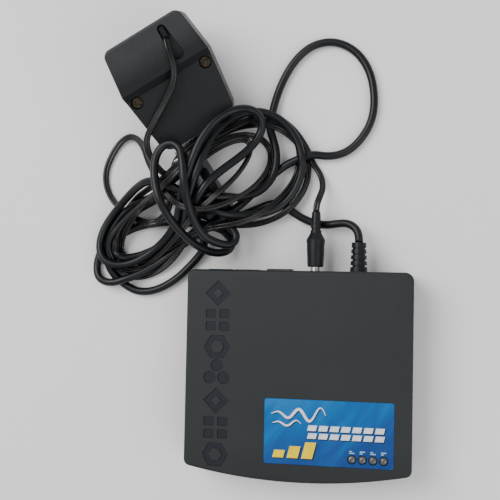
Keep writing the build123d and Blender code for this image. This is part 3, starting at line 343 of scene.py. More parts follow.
power_second = [  # from the side loop, across the waist, then once round each lobe
    [(-7, 0, 38), (-3, -5, 40)],
    teardrop(61, 12, -13, 13, -6, 8, 36, 12, 0.4),
    [(-3, 12, 42)],
    teardrop(70, 185, -12, 11, 12, 2, 34, 9, 0.3),
    [(2, -2, 40)],
]
inner_turn = teardrop(49, 18, -9, 8, -4, 6, 38, 15, 0.4)
power_third = [  # from the inner turn up to the adapter
    [(13, 15.5, 33), (7, 14.5, 34), (1.5, 15, 33.5), (-2.5, 17.5, 32)],
]


def hank_run(pieces):
    """Join the pieces of one run through the hank, in metres."""
    return from_hank(np.vstack([np.asarray(piece, float) for piece in pieces]))


serial_runs = [
    (serial_lead_points, False), (hank_run(serial_first), True), (serial_loop_points, False),
    (hank_run(serial_second), True), (serial_low_points, False), (hank_run(serial_third), True),
    (from_hank(hook_points), False), (hank_run(serial_fourth), True), (from_hank(hood_entry), False),
]
power_runs = [
    (power_lead_points, False), (hank_run(power_first), True), (power_side_points[::-1], False),
    (hank_run(power_second + [inner_turn[:3]]), True), (from_hank(inner_turn[3:-3]), False),
    (hank_run(power_third), True), (power_tail_points[::-1], False),
]
print("runs of the serial cord", len(serial_runs), "and of the power lead", len(power_runs))

# %% [markdown]
# ## Let the turns settle
# Drawn turns pass through each other.  Real ones lie on each other, so the hank is laid out a little high and
# let down: a chain of beads for each cord, with a fixed distance between neighbours, a stiffness against
# bending, a push between beads that overlap, and the table, the adapter, the connector and the modem as
# boxes that push beads out.  Beads of the free stretches are held.  Blender's own physics could do it, but a
# few hundred rounds of whole-array arithmetic take seconds and give the same answer every time.

# %% Beads
bead_step = 3.0 * MM
samples_per_point = 12
serial_radius = 2.4 * MM
power_radius = 1.6 * MM


def spline_samples(points, per_point=samples_per_point):
    """Points on the quadratic spline of control points: between two midpoints it is
    (1 - t)^2 a + 2 t (1 - t) b + t^2 c, where b is the control point and a and c are the midpoints."""
    points = np.asarray(points, float)
    middles = np.vstack([points[:1], (points[1:-2] + points[2:-1]) / 2, points[-1:]])
    t = np.linspace(0, 1, per_point, endpoint=False)[None, :, None]
    first, corner, last = middles[:-1, None], points[1:-1, None], middles[1:, None]
    curve = (1 - t) ** 2 * first + 2 * t * (1 - t) * corner + t ** 2 * last
    return np.vstack([curve.reshape(-1, 3), points[-1:]])


def length_along(points):
    """Running length at each point of a line."""
    return np.concatenate([[0.0], np.cumsum(np.linalg.norm(np.diff(points, axis=0), axis=1))])


def beads(runs):
    """Evenly spaced beads along a cord's runs, and for each bead whether it is free to move."""
    control = np.vstack([np.asarray(points, float) for points, _ in runs])
    free = np.concatenate([np.full(len(points), loose) for points, loose in runs])
    line = spline_samples(control)
    index = np.clip(np.round(np.arange(len(line)) / samples_per_point + 0.5).astype(int), 0,
                    len(control) - 1)
    run_length = length_along(line)
    stations = np.linspace(0, run_length[-1], int(round(run_length[-1] / bead_step)) + 1)
    placed = np.stack([np.interp(stations, run_length, line[:, axis]) for axis in range(3)], axis=1)
    return placed, np.interp(stations, run_length, free[index].astype(float)) > 0.5


# %% Boxes that the hank lies on
def unit(x, y, z=0.0):
    """A vector of length one."""
    vector = np.array([x, y, z], float)
    return vector / np.linalg.norm(vector)


def local_box(centre, axes, half):
    """A box as its centre, its three unit axes and its half sizes."""
    return np.array(centre, float), np.array(axes, float), np.array(half, float)


mating = unit(math.cos(math.radians(123.1)), math.sin(math.radians(123.1)))
connector_axes = [mating, np.cross([0, 0, 1.0], mating), [0, 0, 1.0]]
connector_front = np.array([-67.9, 124.7, 16.5]) * MM
lift = np.array([0, 0, 12.5]) * MM
adapter_way = unit(math.cos(math.radians(120)), math.sin(math.radians(120)))
adapter_across = np.array([adapter_way[1], -adapter_way[0], 0.0])
tilt = math.radians(20)
adapter_long = adapter_way * math.cos(tilt) + np.array([0, 0, math.sin(tilt)])
adapter_face = np.cross(adapter_across, adapter_long)
adapter_axes = [adapter_across, adapter_long, adapter_face]
adapter_foot = np.array([-63.2, 148.1, 0.0]) * MM
modem_low, modem_high = (np.array(corner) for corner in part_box("top_cover"))
modem_half = np.array([(modem_high[0] - modem_low[0]) / 2, (modem_high[1] - modem_low[1]) / 2,
                       modem_high[2] / 2])
supports = [
    local_box(connector_front - mating * 6 * MM, connector_axes, np.array([6, 7.7, 16.5]) * MM),
    local_box(connector_front - mating * 19 * MM, connector_axes, np.array([19, 7.7, 9.4]) * MM),
    local_box(connector_front + mating * 3.4 * MM, connector_axes, np.array([3.4, 4.5, 8.6]) * MM),
    local_box(connector_front - mating * 17.1 * MM + lift, connector_axes, np.array([4.6, 2.9, 2.9]) * MM),
    local_box(connector_front - mating * 17.1 * MM - lift, connector_axes, np.array([4.6, 2.9, 2.9]) * MM),
    local_box(adapter_foot + (adapter_long * 33.5 + adapter_face * 15.5) * MM, adapter_axes,
              np.array([26, 33.5, 15.5]) * MM),
    local_box(adapter_foot + (adapter_long * 53.5 + adapter_face * 17) * MM, adapter_axes,
              np.array([26, 13.5, 17]) * MM),
    local_box([0, 0, modem_half[2]], np.eye(3), modem_half),
]
print("boxes that beads rest on", len(supports))


# %% Settle both cords together
first_fall, last_fall = 0.12, 0.02  # millimetres in a round
homing = 0.012  # share of the way back to its drawn plan place
bend_stiffness = 0.075
near_gap = 2.5 * MM  # pairs this much apart are watched for contact


def push_out_of(boxes, place, radius, free):
    """Move every free bead that is inside a box, grown by its radius, to the nearest face."""
    for centre, axes, half in boxes:
        local = (place - centre) @ axes.T
        grown = half[None, :] + radius[:, None]
        inside = np.all(np.abs(local) < grown, axis=1) & free
        rows = np.flatnonzero(inside)
        if len(rows) == 0:
            continue
        nearest = np.argmin(grown[rows] - np.abs(local[rows]), axis=1)
        sign = np.where(local[rows, nearest] < 0, -1.0, 1.0)
        moved = local[rows]
        moved[np.arange(len(rows)), nearest] = sign * grown[rows, nearest]
        place[rows] = moved @ axes + centre


def settle(chains, boxes, rounds=500):
    """Beads fall, keep their spacing, resist bending and push each other apart, round after round."""
    place = np.vstack([chain[0] for chain in chains])
    free = np.concatenate([chain[1] for chain in chains])
    radius = np.concatenate([np.full(len(chain[0]), chain[2]) for chain in chains])
    cord = np.concatenate([np.full(len(chain[0]), number) for number, chain in enumerate(chains)])
    weight = free.astype(float)
    home = place.copy()
    count = len(place)
    order = np.arange(count)
    links = order[:-1][cord[:-1] == cord[1:]]
    rest = np.linalg.norm(place[links + 1] - place[links], axis=1)
    bends = {}
    for gap in (1, 3):
        rows = np.arange(2 * gap, count - 2 * gap)
        bends[gap] = rows[cord[rows - 2 * gap] == cord[rows + 2 * gap]]
    both = radius[:, None] + radius[None, :]
    skip = np.where(cord[:, None] == cord[None, :], np.ceil(2.2 * both / bead_step), 0)
    for step in range(rounds):
        place[:, 2] -= (first_fall * (1 - step / rounds) + last_fall) * MM * weight
        place[:, :2] += homing * (home - place)[:, :2] * weight[:, None]
        for gap, rows in bends.items():
            stiff = (place[rows - 2 * gap] - 4 * place[rows - gap] + 6 * place[rows]
                     - 4 * place[rows + gap] + place[rows + 2 * gap])
            place[rows] -= bend_stiffness * stiff * weight[rows, None]
        for parity in (0, 1):
            chosen = links % 2 == parity
            near, far, wanted = links[chosen], links[chosen] + 1, rest[chosen]
            apart = place[far] - place[near]
            distance = np.linalg.norm(apart, axis=1)
            shared = np.maximum(weight[near] + weight[far], 1e-9)
            pull = ((distance - wanted) / np.maximum(distance, 1e-9) / shared)[:, None] * apart
            place[near] += pull * weight[near, None]
            place[far] -= pull * weight[far, None]
        if step % 6 == 0:
            squared = ((place[:, None, :] - place[None, :, :]) ** 2).sum(axis=2)
            close = (squared < (both + near_gap) ** 2) & (order[:, None] < order[None, :] - skip)
            one, other = np.nonzero(close)
        for _ in range(3):
            apart = place[other] - place[one]
            distance = np.linalg.norm(apart, axis=1)
            wanted = radius[one] + radius[other]
            shared = weight[one] + weight[other]
            hit = (distance < wanted) & (shared > 0)
            depth = (wanted - distance)[hit] / np.maximum(distance[hit], 1e-6)
            push = (depth / shared[hit] / 2)[:, None] * apart[hit]
            moved = np.zeros_like(place)
            np.add.at(moved, one[hit], -push * weight[one[hit], None])
            np.add.at(moved, other[hit], push * weight[other[hit], None])
            size = np.linalg.norm(moved, axis=1, keepdims=True)
            place += moved * np.minimum(1.0, MM / np.maximum(size, 1e-9))
            push_out_of(boxes, place, radius, free)
            place[free, 2] = np.maximum(place[free, 2], radius[free])
    deepest = (wanted - distance).max() if len(distance) else 0.0
    print("deepest overlap between beads, mm", round(float(deepest) / MM, 2))
    return [place[cord == number] for number in range(len(chains))]


serial_beads, serial_free = beads(serial_runs)
power_beads, power_free = beads(power_runs)
serial_beads, power_beads = settle(
    [(serial_beads, serial_free, serial_radius), (power_beads, power_free, power_radius)], supports)
print("beads", len(serial_beads), len(power_beads))


# %% From beads back to control points
def control_points(runs, placed, free):
    """Free stretches keep their own points; each hank run gives every second bead of its free beads."""
    change = np.flatnonzero(np.diff(free.astype(int)) != 0) + 1
    loose = [part for part in np.split(np.arange(len(free)), change) if free[part[0]]]
    points, number = [], 0
    for held, in_hank in runs:
        if in_hank:
            points.append(placed[loose[number]][1:-1:2])
            number += 1
        else:
            points.append(np.asarray(held, float))
    return np.vstack(points)


def route_curve(name, points):
    """A smooth open spline with these control points: only the route, with no thickness."""
    data = bpy.data.curves.new(name, "CURVE")
    data.dimensions = "3D"
    spline = data.splines.new("NURBS")
    spline.points.add(len(points) - 1)
    spline.points.foreach_set("co", np.hstack([points, np.ones((len(points), 1))]).ravel())
    spline.order_u = 3
    spline.use_endpoint_u = True
    data.resolution_u = 5
    curve = bpy.data.objects.new(name, data)
    bpy.context.scene.collection.objects.link(curve)
    return curve


def read_line(points):
    """Points along the spline itself, read back from a curve with no bevel."""
    bare = route_curve("bare_route", points)
    mesh = bpy.data.meshes.new_from_object(bare)
    line = np.zeros(len(mesh.vertices) * 3)
    mesh.vertices.foreach_get("co", line)
    bpy.data.objects.remove(bare)
    bpy.data.meshes.remove(mesh)
    return line.reshape(-1, 3)


serial_control = control_points(serial_runs, serial_beads, serial_free)
power_control = control_points(power_runs, power_beads, power_free)
serial_line = read_line(serial_control)
power_line = read_line(power_control)
serial_length = float(length_along(serial_line)[-1])
power_length = float(length_along(power_line)[-1])
print("serial cord, m", round(serial_length, 3), "power lead, m", round(power_length, 3))


# %% [markdown]
# ## A round cord and a twin lead
# The serial cord is round.  The power lead is two insulated wires side by side, so its section is a figure
# of eight.  Either section is carried along its line.  At each point the wide side lies level, and a slow
# roll turns it on edge here and there, as twin leads do; the round cord's roll only turns its grain.

# %% Meshes from grids
def grid_mesh(name, grid, closed_v=False, caps=False):
    """A mesh from a grid of points, rows along u and columns along v.  Every cell is one face; closed_v
    joins the last column to the first, and caps close the two ends of a tube."""
    rows, columns = grid.shape[:2]
    index = np.arange(rows * columns).reshape(rows, columns)
    if closed_v:
        index = np.hstack([index, index[:, :1]])
    cells = np.stack([index[:-1, :-1], index[:-1, 1:], index[1:, 1:], index[1:, :-1]],
                     axis=2).reshape(-1, 4)
    faces = cells.tolist()
    if caps:
        faces += [index[0, :columns][::-1].tolist(), index[-1, :columns].tolist()]
    mesh = bpy.data.meshes.new(name)
    mesh.from_pydata(grid.reshape(-1, 3).tolist(), [], faces)
    mesh.polygons.foreach_set("use_smooth", np.ones(len(mesh.polygons), bool))
    mesh.update()
    return mesh


def add_object(name, mesh, body="modem"):
    """Link a mesh as a piece that rides on a body."""
    piece = bpy.data.objects.new(name, mesh)
    bpy.context.scene.collection.objects.link(piece)
    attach(piece, body)
    return piece


def twin_section(count=20):
    """Outline of two round wires that touch: r = c |cos a| + sqrt(w^2 - (c sin a)^2), with wires of
    radius w whose middles are c from the centre."""
    wire, offset = 1.05 * MM, 0.9 * MM
    angle = np.linspace(0, 2 * np.pi, count, endpoint=False)
    reach = offset * np.abs(np.cos(angle)) + np.sqrt(wire ** 2 - (offset * np.sin(angle)) ** 2)
    return reach * np.cos(angle), reach * np.sin(angle)


def round_section(radius, count=16):
    """Outline of a round cord: x = r cos a, y = r sin a."""
    angle = np.linspace(0, 2 * np.pi, count, endpoint=False)
    return radius * np.cos(angle), radius * np.sin(angle)


def sweep(name, line, section):
    """Carry a section along a line.  Its wide axis is level, across the line, then rolled by a slow
    wave: roll = 0.5 sin(length / 45 mm) + 0.35 sin(length / 17 mm)."""
    tangent = np.gradient(line, axis=0)
    tangent /= np.linalg.norm(tangent, axis=1, keepdims=True)
    level = np.cross([0.0, 0.0, 1.0], tangent)
    level /= np.maximum(np.linalg.norm(level, axis=1, keepdims=True), 1e-9)
    over = np.cross(tangent, level)
    station = length_along(line)
    roll = (0.5 * np.sin(station / (45 * MM)) + 0.35 * np.sin(station / (17 * MM)))[:, None]
    wide = level * np.cos(roll) + over * np.sin(roll)
    tall = over * np.cos(roll) - level * np.sin(roll)
    across, above = section
    grid = (line[:, None, :] + across[None, :, None] * wide[:, None, :]
            + above[None, :, None] * tall[:, None, :])
    return add_object(name, grid_mesh(name, grid, closed_v=True, caps=True))


serial_cord = sweep("serial_cord", serial_line, round_section(serial_radius))
power_cord = sweep("power_cord", power_line, twin_section())
print("faces of the cords", len(serial_cord.data.polygons), len(power_cord.data.polygons))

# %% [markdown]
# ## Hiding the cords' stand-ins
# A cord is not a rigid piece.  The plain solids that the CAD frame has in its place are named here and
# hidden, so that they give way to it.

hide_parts("serial_lead", "serial_loop", "serial_low_loop", "hank_right", "hank_waist",
            "hank_left")
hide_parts("power_lead", "power_tail", "power_side_loop")
print("as laid, m", round(serial_length, 3), round(power_length, 3), "declared 1.80 and 1.60")

# %% [markdown]
# ## Finishes
# Every finish is a handful of nodes on the piece's own coordinates, which are metres, so the size of a grain
# is easy to reason about: a noise scale of 2500 has a patch about every 0.4 mm.  Moulded plastic gets a
# spark grain from a fine noise and a slow mottle that changes colour and gloss together.  Metals get their
# look from roughness that varies and from fine scratches.  What is the same everywhere is set on the shader.

# %% Helpers for finishes
def give(material, *pieces):
    """Put one finish on CAD nodes, by name, and on pieces made here."""
    for piece in pieces:
        target = nodes[piece] if isinstance(piece, str) else piece
        target.data.materials.clear()
        target.data.materials.append(material)
    print(material.name, "with", len(material.node_tree.nodes), "nodes, on", len(pieces), "pieces")


def split(tree, add, where):
    """The three coordinates of a vector."""
    node = add("SeparateXYZ")
    tree.links.new(where, node.inputs["Vector"])
    return node.outputs["X"], node.outputs["Y"], node.outputs["Z"]


def calculate(tree, add, operation, first, second):
    """One sum on two values, each an output or a number."""
    node = add("Math")
    node.operation = operation
    for socket, value in zip(node.inputs, (first, second)):
        if isinstance(value, (int, float)):
            socket.default_value = value
        else:
            tree.links.new(value, socket)
    return node.outputs["Value"]


def stretched(tree, add, where, turn=(0, 0, 0), size=(1, 1, 1)):
    """Turn and stretch coordinates before a texture reads them."""
    node = add("Mapping")
    node.inputs["Rotation"].default_value = turn
    node.inputs["Scale"].default_value = size
    tree.links.new(where, node.inputs["Vector"])
    return node.outputs["Vector"]


def stripes(tree, add, where, scale, distortion=0.0, axis="X", profile="SIN"):
    """Parallel stripes across an axis; one stripe about every 0.3 / scale metres."""
    node = add("TexWave", Scale=scale, Distortion=distortion, Detail=2.0)
    node.wave_type = "BANDS"
    node.bands_direction = axis
    node.wave_profile = profile
    tree.links.new(where, node.inputs["Vector"])
    return node.outputs["Fac"]


def specks(tree, add, where, scale, size):
    """Sparse dots: one where a cell's own point is nearer than the given share of a cell."""
    node = add("TexVoronoi", Scale=scale, Randomness=1.0)
    tree.links.new(where, node.inputs["Vector"])
    return span(tree, add, node.outputs["Distance"], size * 0.6, size, 1.0, 0.0)


def within(tree, add, value, low, high, soft):
    """One between two values and zero outside, with soft ends."""
    rise = span(tree, add, value, low - soft, low + soft, 0.0, 1.0)
    fall = span(tree, add, value, high - soft, high + soft, 1.0, 0.0)
    return calculate(tree, add, "MULTIPLY", rise, fall)


def moulded(name, dark, light, grain, depth, rough, mottle=28.0, dust=0.0, specular=0.5):
    """Moulded plastic or rubber: a slow mottle between two colours, fine grain in the gloss and the
    surface, and a few pale specks of dust."""
    material, tree, shader, add = new_material(name)
    where = place_nodes(tree, add)
    cloud = noise(tree, add, where, mottle, 5.0, 0.6)
    fine = noise(tree, add, where, grain, 2.0)
    colour = ramp(tree, add, cloud, [(0.35, dark), (0.65, light)])
    shade = span(tree, add, fine, 0.3, 0.7, 0.0, 0.35)
    colour = blend(tree, add, shade, colour, tuple(channel * 1.4 for channel in light))
    if dust > 0:
        dots = specks(tree, add, where, 520.0, 0.13)
        patchy = span(tree, add, noise(tree, add, where, 60.0), 0.5, 0.7, 0.0, dust)
        colour = blend(tree, add, calculate(tree, add, "MULTIPLY", dots, patchy), colour,
                       (0.16, 0.155, 0.145))
    tree.links.new(colour, shader.inputs["Base Color"])
    gloss = span(tree, add, cloud, 0.3, 0.7, rough - 0.06, rough + 0.06)
    tree.links.new(gloss, shader.inputs["Roughness"])
    shader.inputs["Specular IOR Level"].default_value = specular
    layer = bump(tree, add, shader, noise(tree, add, where, grain * 0.12, 3.0), depth * 2.0, 0.35)
    bump(tree, add, shader, fine, depth, 0.8, layer)
    return material, tree, shader, add


def metal(name, dark, light, rough, scale=90.0, scratch=(1.0, 1.0, 14.0), tarnish=None):
    """Bare metal: two tones in a cloud, stretched scratches in the surface, and dull patches."""
    material, tree, shader, add = new_material(name)
    where = place_nodes(tree, add)
    cloud = noise(tree, add, where, scale, 4.0)
    colour = ramp(tree, add, cloud, [(0.3, dark), (0.7, light)])
    if tarnish is not None:
        patch = span(tree, add, noise(tree, add, where, scale * 3.0, 6.0), 0.52, 0.68, 0.0, 0.8)
        colour = blend(tree, add, patch, colour, tarnish)
    tree.links.new(colour, shader.inputs["Base Color"])
    shader.inputs["Metallic"].default_value = 1.0
    lines = noise(tree, add, stretched(tree, add, where, size=scratch), 900.0, 3.0)
    gloss = span(tree, add, lines, 0.3, 0.7, rough - 0.07, rough + 0.1)
    tree.links.new(gloss, shader.inputs["Roughness"])
    bump(tree, add, shader, lines, 0.00002, 0.5)
    return material, tree, shader, add


# %% [markdown]
# ## Case plastic
# The case is spark-grained charcoal plastic. An image of plastic could be wrapped on it, but noise on the
# piece's own coordinates has no seams and holds at any distance. The sunk figures are picked out by their
# height and given painted shade.

# %% Case plastic
def case_finish():
    """Spark-grained charcoal plastic.  The sunk figures get painted shade, a darker, bluer floor: they are
    found by height, between the figure floors and the top, inside the strip that they fill."""
    material, tree, shader, add = moulded(
        "case_plastic", (0.0150, 0.0180, 0.0190), (0.0200, 0.0232, 0.0242), 2600.0, 0.00006, 0.55, 22.0,
        0.0, 0.26)
    where = place_nodes(tree, add)
    x, y, z = split(tree, add, where)
    colour = shader.inputs["Base Color"].links[0].from_socket
    warm = span(tree, add, y, -0.062, -0.035, 0.55, 0.0)
    colour = blend(tree, add, warm, colour, (0.012, 0.0125, 0.0140))
    # Painted shade: the walls below the top edge are coloured darker and bluer.
    wall_shade = span(tree, add, z, 0.0212, 0.0238, 0.5, 0.0)
    colour = blend(tree, add, wall_shade, colour, (0.011, 0.014, 0.018))
    # Painted shade: the floors of the sunk figures are coloured darker and bluer.
    sunk = within(tree, add, z, 0.0246, 0.02575, 0.0001)
    strip = within(tree, add, x, -0.0605, -0.036, 0.0004)
    figure = calculate(tree, add, "MULTIPLY", sunk, strip)
    colour = blend(tree, add, calculate(tree, add, "MULTIPLY", figure, 0.85), colour,
                   (0.0070, 0.0090, 0.0150))
    tree.links.new(colour, shader.inputs["Base Color"])
    return material


give(case_finish(), "top_cover", "bottom_case")


# %% [markdown]
# ## Label film
# The label is a blue printed film under a thin varnish. A ramp along a slope makes its slow change of
# blue, and noise stretched one way makes its beams, so it needs no picture.

# %% Printed label film
def label_finish():
    """Glossy blue film: brighter towards its upper left, with soft slanted beams and a thin varnish."""
    material, tree, shader, add = new_material("label_film")
    where = place_nodes(tree, add)
    x, y, z = split(tree, add, where)
    across = span(tree, add, x, -0.018, 0.055, 0.0, 1.0)
    down = span(tree, add, y, -0.013, -0.0495, 0.0, 1.0)
    slope = calculate(tree, add, "ADD", calculate(tree, add, "MULTIPLY", across, 0.45),
                      calculate(tree, add, "MULTIPLY", down, 0.55))
    colour = ramp(tree, add, slope, [
        (0.0, (0.002, 0.150, 0.420)), (0.3, (0.001, 0.105, 0.350)),
        (0.62, (0.001, 0.062, 0.265)), (1.0, (0.002, 0.040, 0.190))])
    turned = stretched(tree, add, stretched(tree, add, where, (0, 0, 0.62)), size=(1, 0.22, 1))
    beams = noise(tree, add, turned, 95.0, 3.0)
    colour = blend(tree, add, span(tree, add, beams, 0.5, 0.72, 0.0, 0.55), colour, (0.004, 0.20, 0.50))
    colour = blend(tree, add, span(tree, add, beams, 0.5, 0.3, 0.0, 0.5), colour, (0.001, 0.030, 0.16))
    dots = stripes(tree, add, stretched(tree, add, where, (0, 0, 0.785)), 520.0)
    colour = blend(tree, add, span(tree, add, dots, 0.0, 1.0, 0.0, 0.06), colour, (0.0, 0.02, 0.08))
    tree.links.new(colour, shader.inputs["Base Color"])
    gloss = span(tree, add, noise(tree, add, where, 140.0, 5.0), 0.3, 0.7, 0.3, 0.42)
    tree.links.new(gloss, shader.inputs["Roughness"])
    shader.inputs["Specular IOR Level"].default_value = 0.3
    shader.inputs["Coat Weight"].default_value = 0.1
    shader.inputs["Coat Roughness"].default_value = 0.2
    bump(tree, add, shader, noise(tree, add, where, 320.0), 0.00002, 0.5)
    return material


give(label_finish(), "label_plate")


# %% [markdown]
# ## Lamps, cords and rubber
# The lamps are clear cast resin, the cord jackets soft black PVC, and the grips and the connector's hood
# moulded rubber. The blacks are close in colour, so what tells them apart is gloss, grain and a little
# dust.

# %% Lamps, cords and rubber
def lens_finish():
    """Clear cast resin with a faint grey cast and small swirls."""
    material, tree, shader, add = new_material("lamp_resin")
    where = place_nodes(tree, add)
    cloud = noise(tree, add, where, 420.0, 3.0)
    colour = ramp(tree, add, cloud, [(0.3, (0.15, 0.155, 0.155)), (0.7, (0.27, 0.275, 0.27))])
    tree.links.new(colour, shader.inputs["Base Color"])
    tree.links.new(span(tree, add, cloud, 0.3, 0.7, 0.06, 0.14), shader.inputs["Roughness"])
    shader.inputs["Transmission Weight"].default_value = 0.72
    shader.inputs["IOR"].default_value = 1.5
    shader.inputs["Coat Weight"].default_value = 0.6
    shader.inputs["Coat Roughness"].default_value = 0.04
    bump(tree, add, shader, noise(tree, add, where, 700.0), 0.00002, 0.4)
    return material


def cord_finish():
    """Soft black PVC: satin, with rubbed patches and settled dust."""
    material, tree, shader, add = moulded(
        "cord_jacket", (0.0016, 0.0024, 0.0042), (0.0030, 0.0042, 0.0066), 1500.0, 0.00003, 0.38, 45.0,
        0.12, 0.3)
    shader.inputs["Coat Weight"].default_value = 0.04
    shader.inputs["Coat Roughness"].default_value = 0.3
    return material


def lead_finish():
    """Harder, shinier PVC of the twin lead: a little warmer, rubbed paler in patches."""
    material, tree, shader, add = moulded(
        "lead_jacket", (0.0024, 0.0028, 0.0034), (0.0046, 0.0050, 0.0056), 1800.0, 0.000008, 0.27, 70.0,
        0.06, 0.42)
    where = place_nodes(tree, add)
    colour = shader.inputs["Base Color"].links[0].from_socket
    rubbed = noise(tree, add, where, 26.0, 4.0, 0.6)
    colour = blend(tree, add, span(tree, add, rubbed, 0.5, 0.72, 0.0, 0.6), colour, (0.024, 0.023, 0.021))
    tree.links.new(colour, shader.inputs["Base Color"])
    return material


cord_jacket = cord_finish()
lead_jacket = lead_finish()
give(lens_finish(), "hook_lamp", "send_lamp", "receive_lamp", "power_lamp")
give(cord_jacket, serial_cord, "serial_pigtail", "serial_lead", "serial_loop", "serial_low_loop",
     "hank_right", "hank_waist", "hank_left")
give(lead_jacket, power_cord, "power_lead", "power_tail", "power_side_loop")
rubber = moulded("moulded_rubber", (0.0022, 0.0030, 0.0048), (0.0042, 0.0054, 0.0078), 1900.0, 0.00004,
                 0.42, 60.0, 0.12, 0.3)[0]
give(rubber, "serial_strain_relief", "plug_grip", "adapter_grommet", "hood_half_near", "hood_half_far")
feet = moulded("foot_rubber", (0.012, 0.012, 0.012), (0.022, 0.022, 0.021), 1300.0, 0.00008, 0.75, 90.0,
               0.5, 0.3)[0]
give(feet, "rubber_feet")


# %% [markdown]
# ## Wall adapter
# The adapter is handled and dropped more than anything else here. It has the same sort of plastic as the
# case but coarser, with scuffs, and its low end is painted darker, as painted shade. Its screws are small
# and dull, so a dark brass is enough.

# %% Adapter
def adapter_finish():
    """Coarser charcoal plastic that has been handled: scuffs, greasy patches and dust in the grain, and
    painted shade that darkens its low end.
    """
    material, tree, shader, add = moulded(
        "adapter_plastic", (0.0190, 0.0215, 0.0240), (0.0270, 0.0295, 0.0320), 2100.0, 0.00007, 0.5, 30.0,
        0.6, 0.3)
    where = place_nodes(tree, add)
    colour = shader.inputs["Base Color"].links[0].from_socket
    x, y, z = split(tree, add, where)
    along = calculate(tree, add, "ADD", calculate(tree, add, "MULTIPLY", x, float(adapter_way[0])),
                      calculate(tree, add, "MULTIPLY", y, float(adapter_way[1])))
    start = float(adapter_foot @ adapter_way)
    # Painted shade: the adapter's first 30 to 42 mm from its low end are coloured much darker.
    painted_low_shade = span(tree, add, along, start + 0.030, start + 0.042, 0.9, 0.0)
    colour = blend(tree, add, painted_low_shade, colour, (0.0018, 0.0026, 0.0040))
    scuffs = noise(tree, add, stretched(tree, add, where, (0, 0, 0.6), (1, 0.12, 1)), 520.0, 5.0)
    colour = blend(tree, add, span(tree, add, scuffs, 0.62, 0.8, 0.0, 0.3), colour, (0.045, 0.045, 0.044))
    tree.links.new(colour, shader.inputs["Base Color"])
    return material


give(adapter_finish(), "adapter_front", "adapter_back")
brass = metal("aged_brass", (0.035, 0.029, 0.020), (0.11, 0.09, 0.06), 0.3, 420.0, (1, 1, 1),
              (0.010, 0.010, 0.009))[0]
give(brass, "adapter_screws")

# %% [markdown]
# ## Metal fittings
# Screws, blades, contacts and the connector's shell are plated or bare metal. One metal recipe serves
# them all: two tones, a scratch direction and a roughness, chosen by how each part is made.

# %% Metal fittings
steel = metal("dark_steel", (0.16, 0.16, 0.17), (0.27, 0.27, 0.28), 0.36, 150.0, (1, 1, 10))[0]
give(steel, "case_screws", "thumbscrew_low", "thumbscrew_high")
tin = metal("tinned_metal", (0.42, 0.42, 0.40), (0.62, 0.61, 0.58), 0.28, 120.0, (8, 1, 1))[0]
give(tin, "board_screws", "crystal", "socket_pin", "plug_sleeve", "adapter_blades")
contacts = metal("contact_gold", (0.60, 0.43, 0.16), (0.78, 0.58, 0.26), 0.22, 300.0)[0]
give(contacts, "jack_contacts")
shell = metal("plated_shell", (0.30, 0.27, 0.19), (0.45, 0.41, 0.30), 0.34, 110.0, (1, 1, 6),
              (0.12, 0.10, 0.07))[0]
give(shell, "connector_shell")
fins = metal("aluminium", (0.55, 0.56, 0.57), (0.74, 0.75, 0.76), 0.32, 70.0, (12, 1, 1))[0]
give(fins, "heat_sink")


# %% [markdown]
# ## Inner parts
# Nobody sees the board unless the case is opened, but each part there has its own finish: solder mask
# with tracks, chips with tinned legs, tape, wire and stacked sheets. Patterns across one axis are
# stripes, which cost one node.

# %% Inner parts
def board_finish():
    """Green solder mask over copper tracks: tracks are the thin mortar lines of one turned brick pattern, and
    small tinned pads show where cells of a fine grid are near their middle."""
    material, tree, shader, add = new_material("solder_mask")
    where = place_nodes(tree, add)
    colour = ramp(tree, add, noise(tree, add, where, 40.0),
                  [(0.3, (0.006, 0.055, 0.022)), (0.7, (0.010, 0.085, 0.035))])
    bricks = add("TexBrick", Scale=55.0)
    bricks.inputs["Mortar Size"].default_value = 0.02
    bricks.inputs["Color1"].default_value = (1, 1, 1, 1)
    bricks.inputs["Color2"].default_value = (1, 1, 1, 1)
    bricks.inputs["Mortar"].default_value = (0, 0, 0, 1)
    tree.links.new(stretched(tree, add, where, (0, 0, 0.785)), bricks.inputs["Vector"])
    tracks = calculate(tree, add, "SUBTRACT", 1.0, bricks.outputs["Color"])
    colour = blend(tree, add, tracks, colour, (0.020, 0.16, 0.055))
    pads = specks(tree, add, where, 330.0, 0.2)
    colour = blend(tree, add, pads, colour, (0.50, 0.50, 0.46))
    tree.links.new(colour, shader.inputs["Base Color"])
    tree.links.new(calculate(tree, add, "MULTIPLY", pads, 0.9), shader.inputs["Metallic"])
    tree.links.new(span(tree, add, noise(tree, add, where, 200.0), 0.3, 0.7, 0.25, 0.4),
                   shader.inputs["Roughness"])
    bump(tree, add, shader, tracks, 0.00004, 0.6)
    return material


def chip_finish(name, leg):
    """Moulded chip body with tinned legs: what is nearer than a leg's length to the side of the node's
    own box is metal."""
    material, tree, shader, add = moulded(
        "chip_" + name, (0.010, 0.010, 0.011), (0.017, 0.017, 0.018), 3000.0, 0.00003, 0.5, 150.0)
    low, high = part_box(name)
    x, y, z = split(tree, add, place_nodes(tree, add))
    inside = within(tree, add, x, low[0] + leg, high[0] - leg, 0.00005)
    if high[0] - low[0] < 1.4 * (high[1] - low[1]):
        inside = calculate(tree, add, "MULTIPLY", inside,
                           within(tree, add, y, low[1] + leg, high[1] - leg, 0.00005))
    legs = calculate(tree, add, "SUBTRACT", 1.0, inside)
    colour = shader.inputs["Base Color"].links[0].from_socket
    tree.links.new(blend(tree, add, legs, colour, (0.50, 0.49, 0.46)), shader.inputs["Base Color"])
    tree.links.new(legs, shader.inputs["Metallic"])
    return material


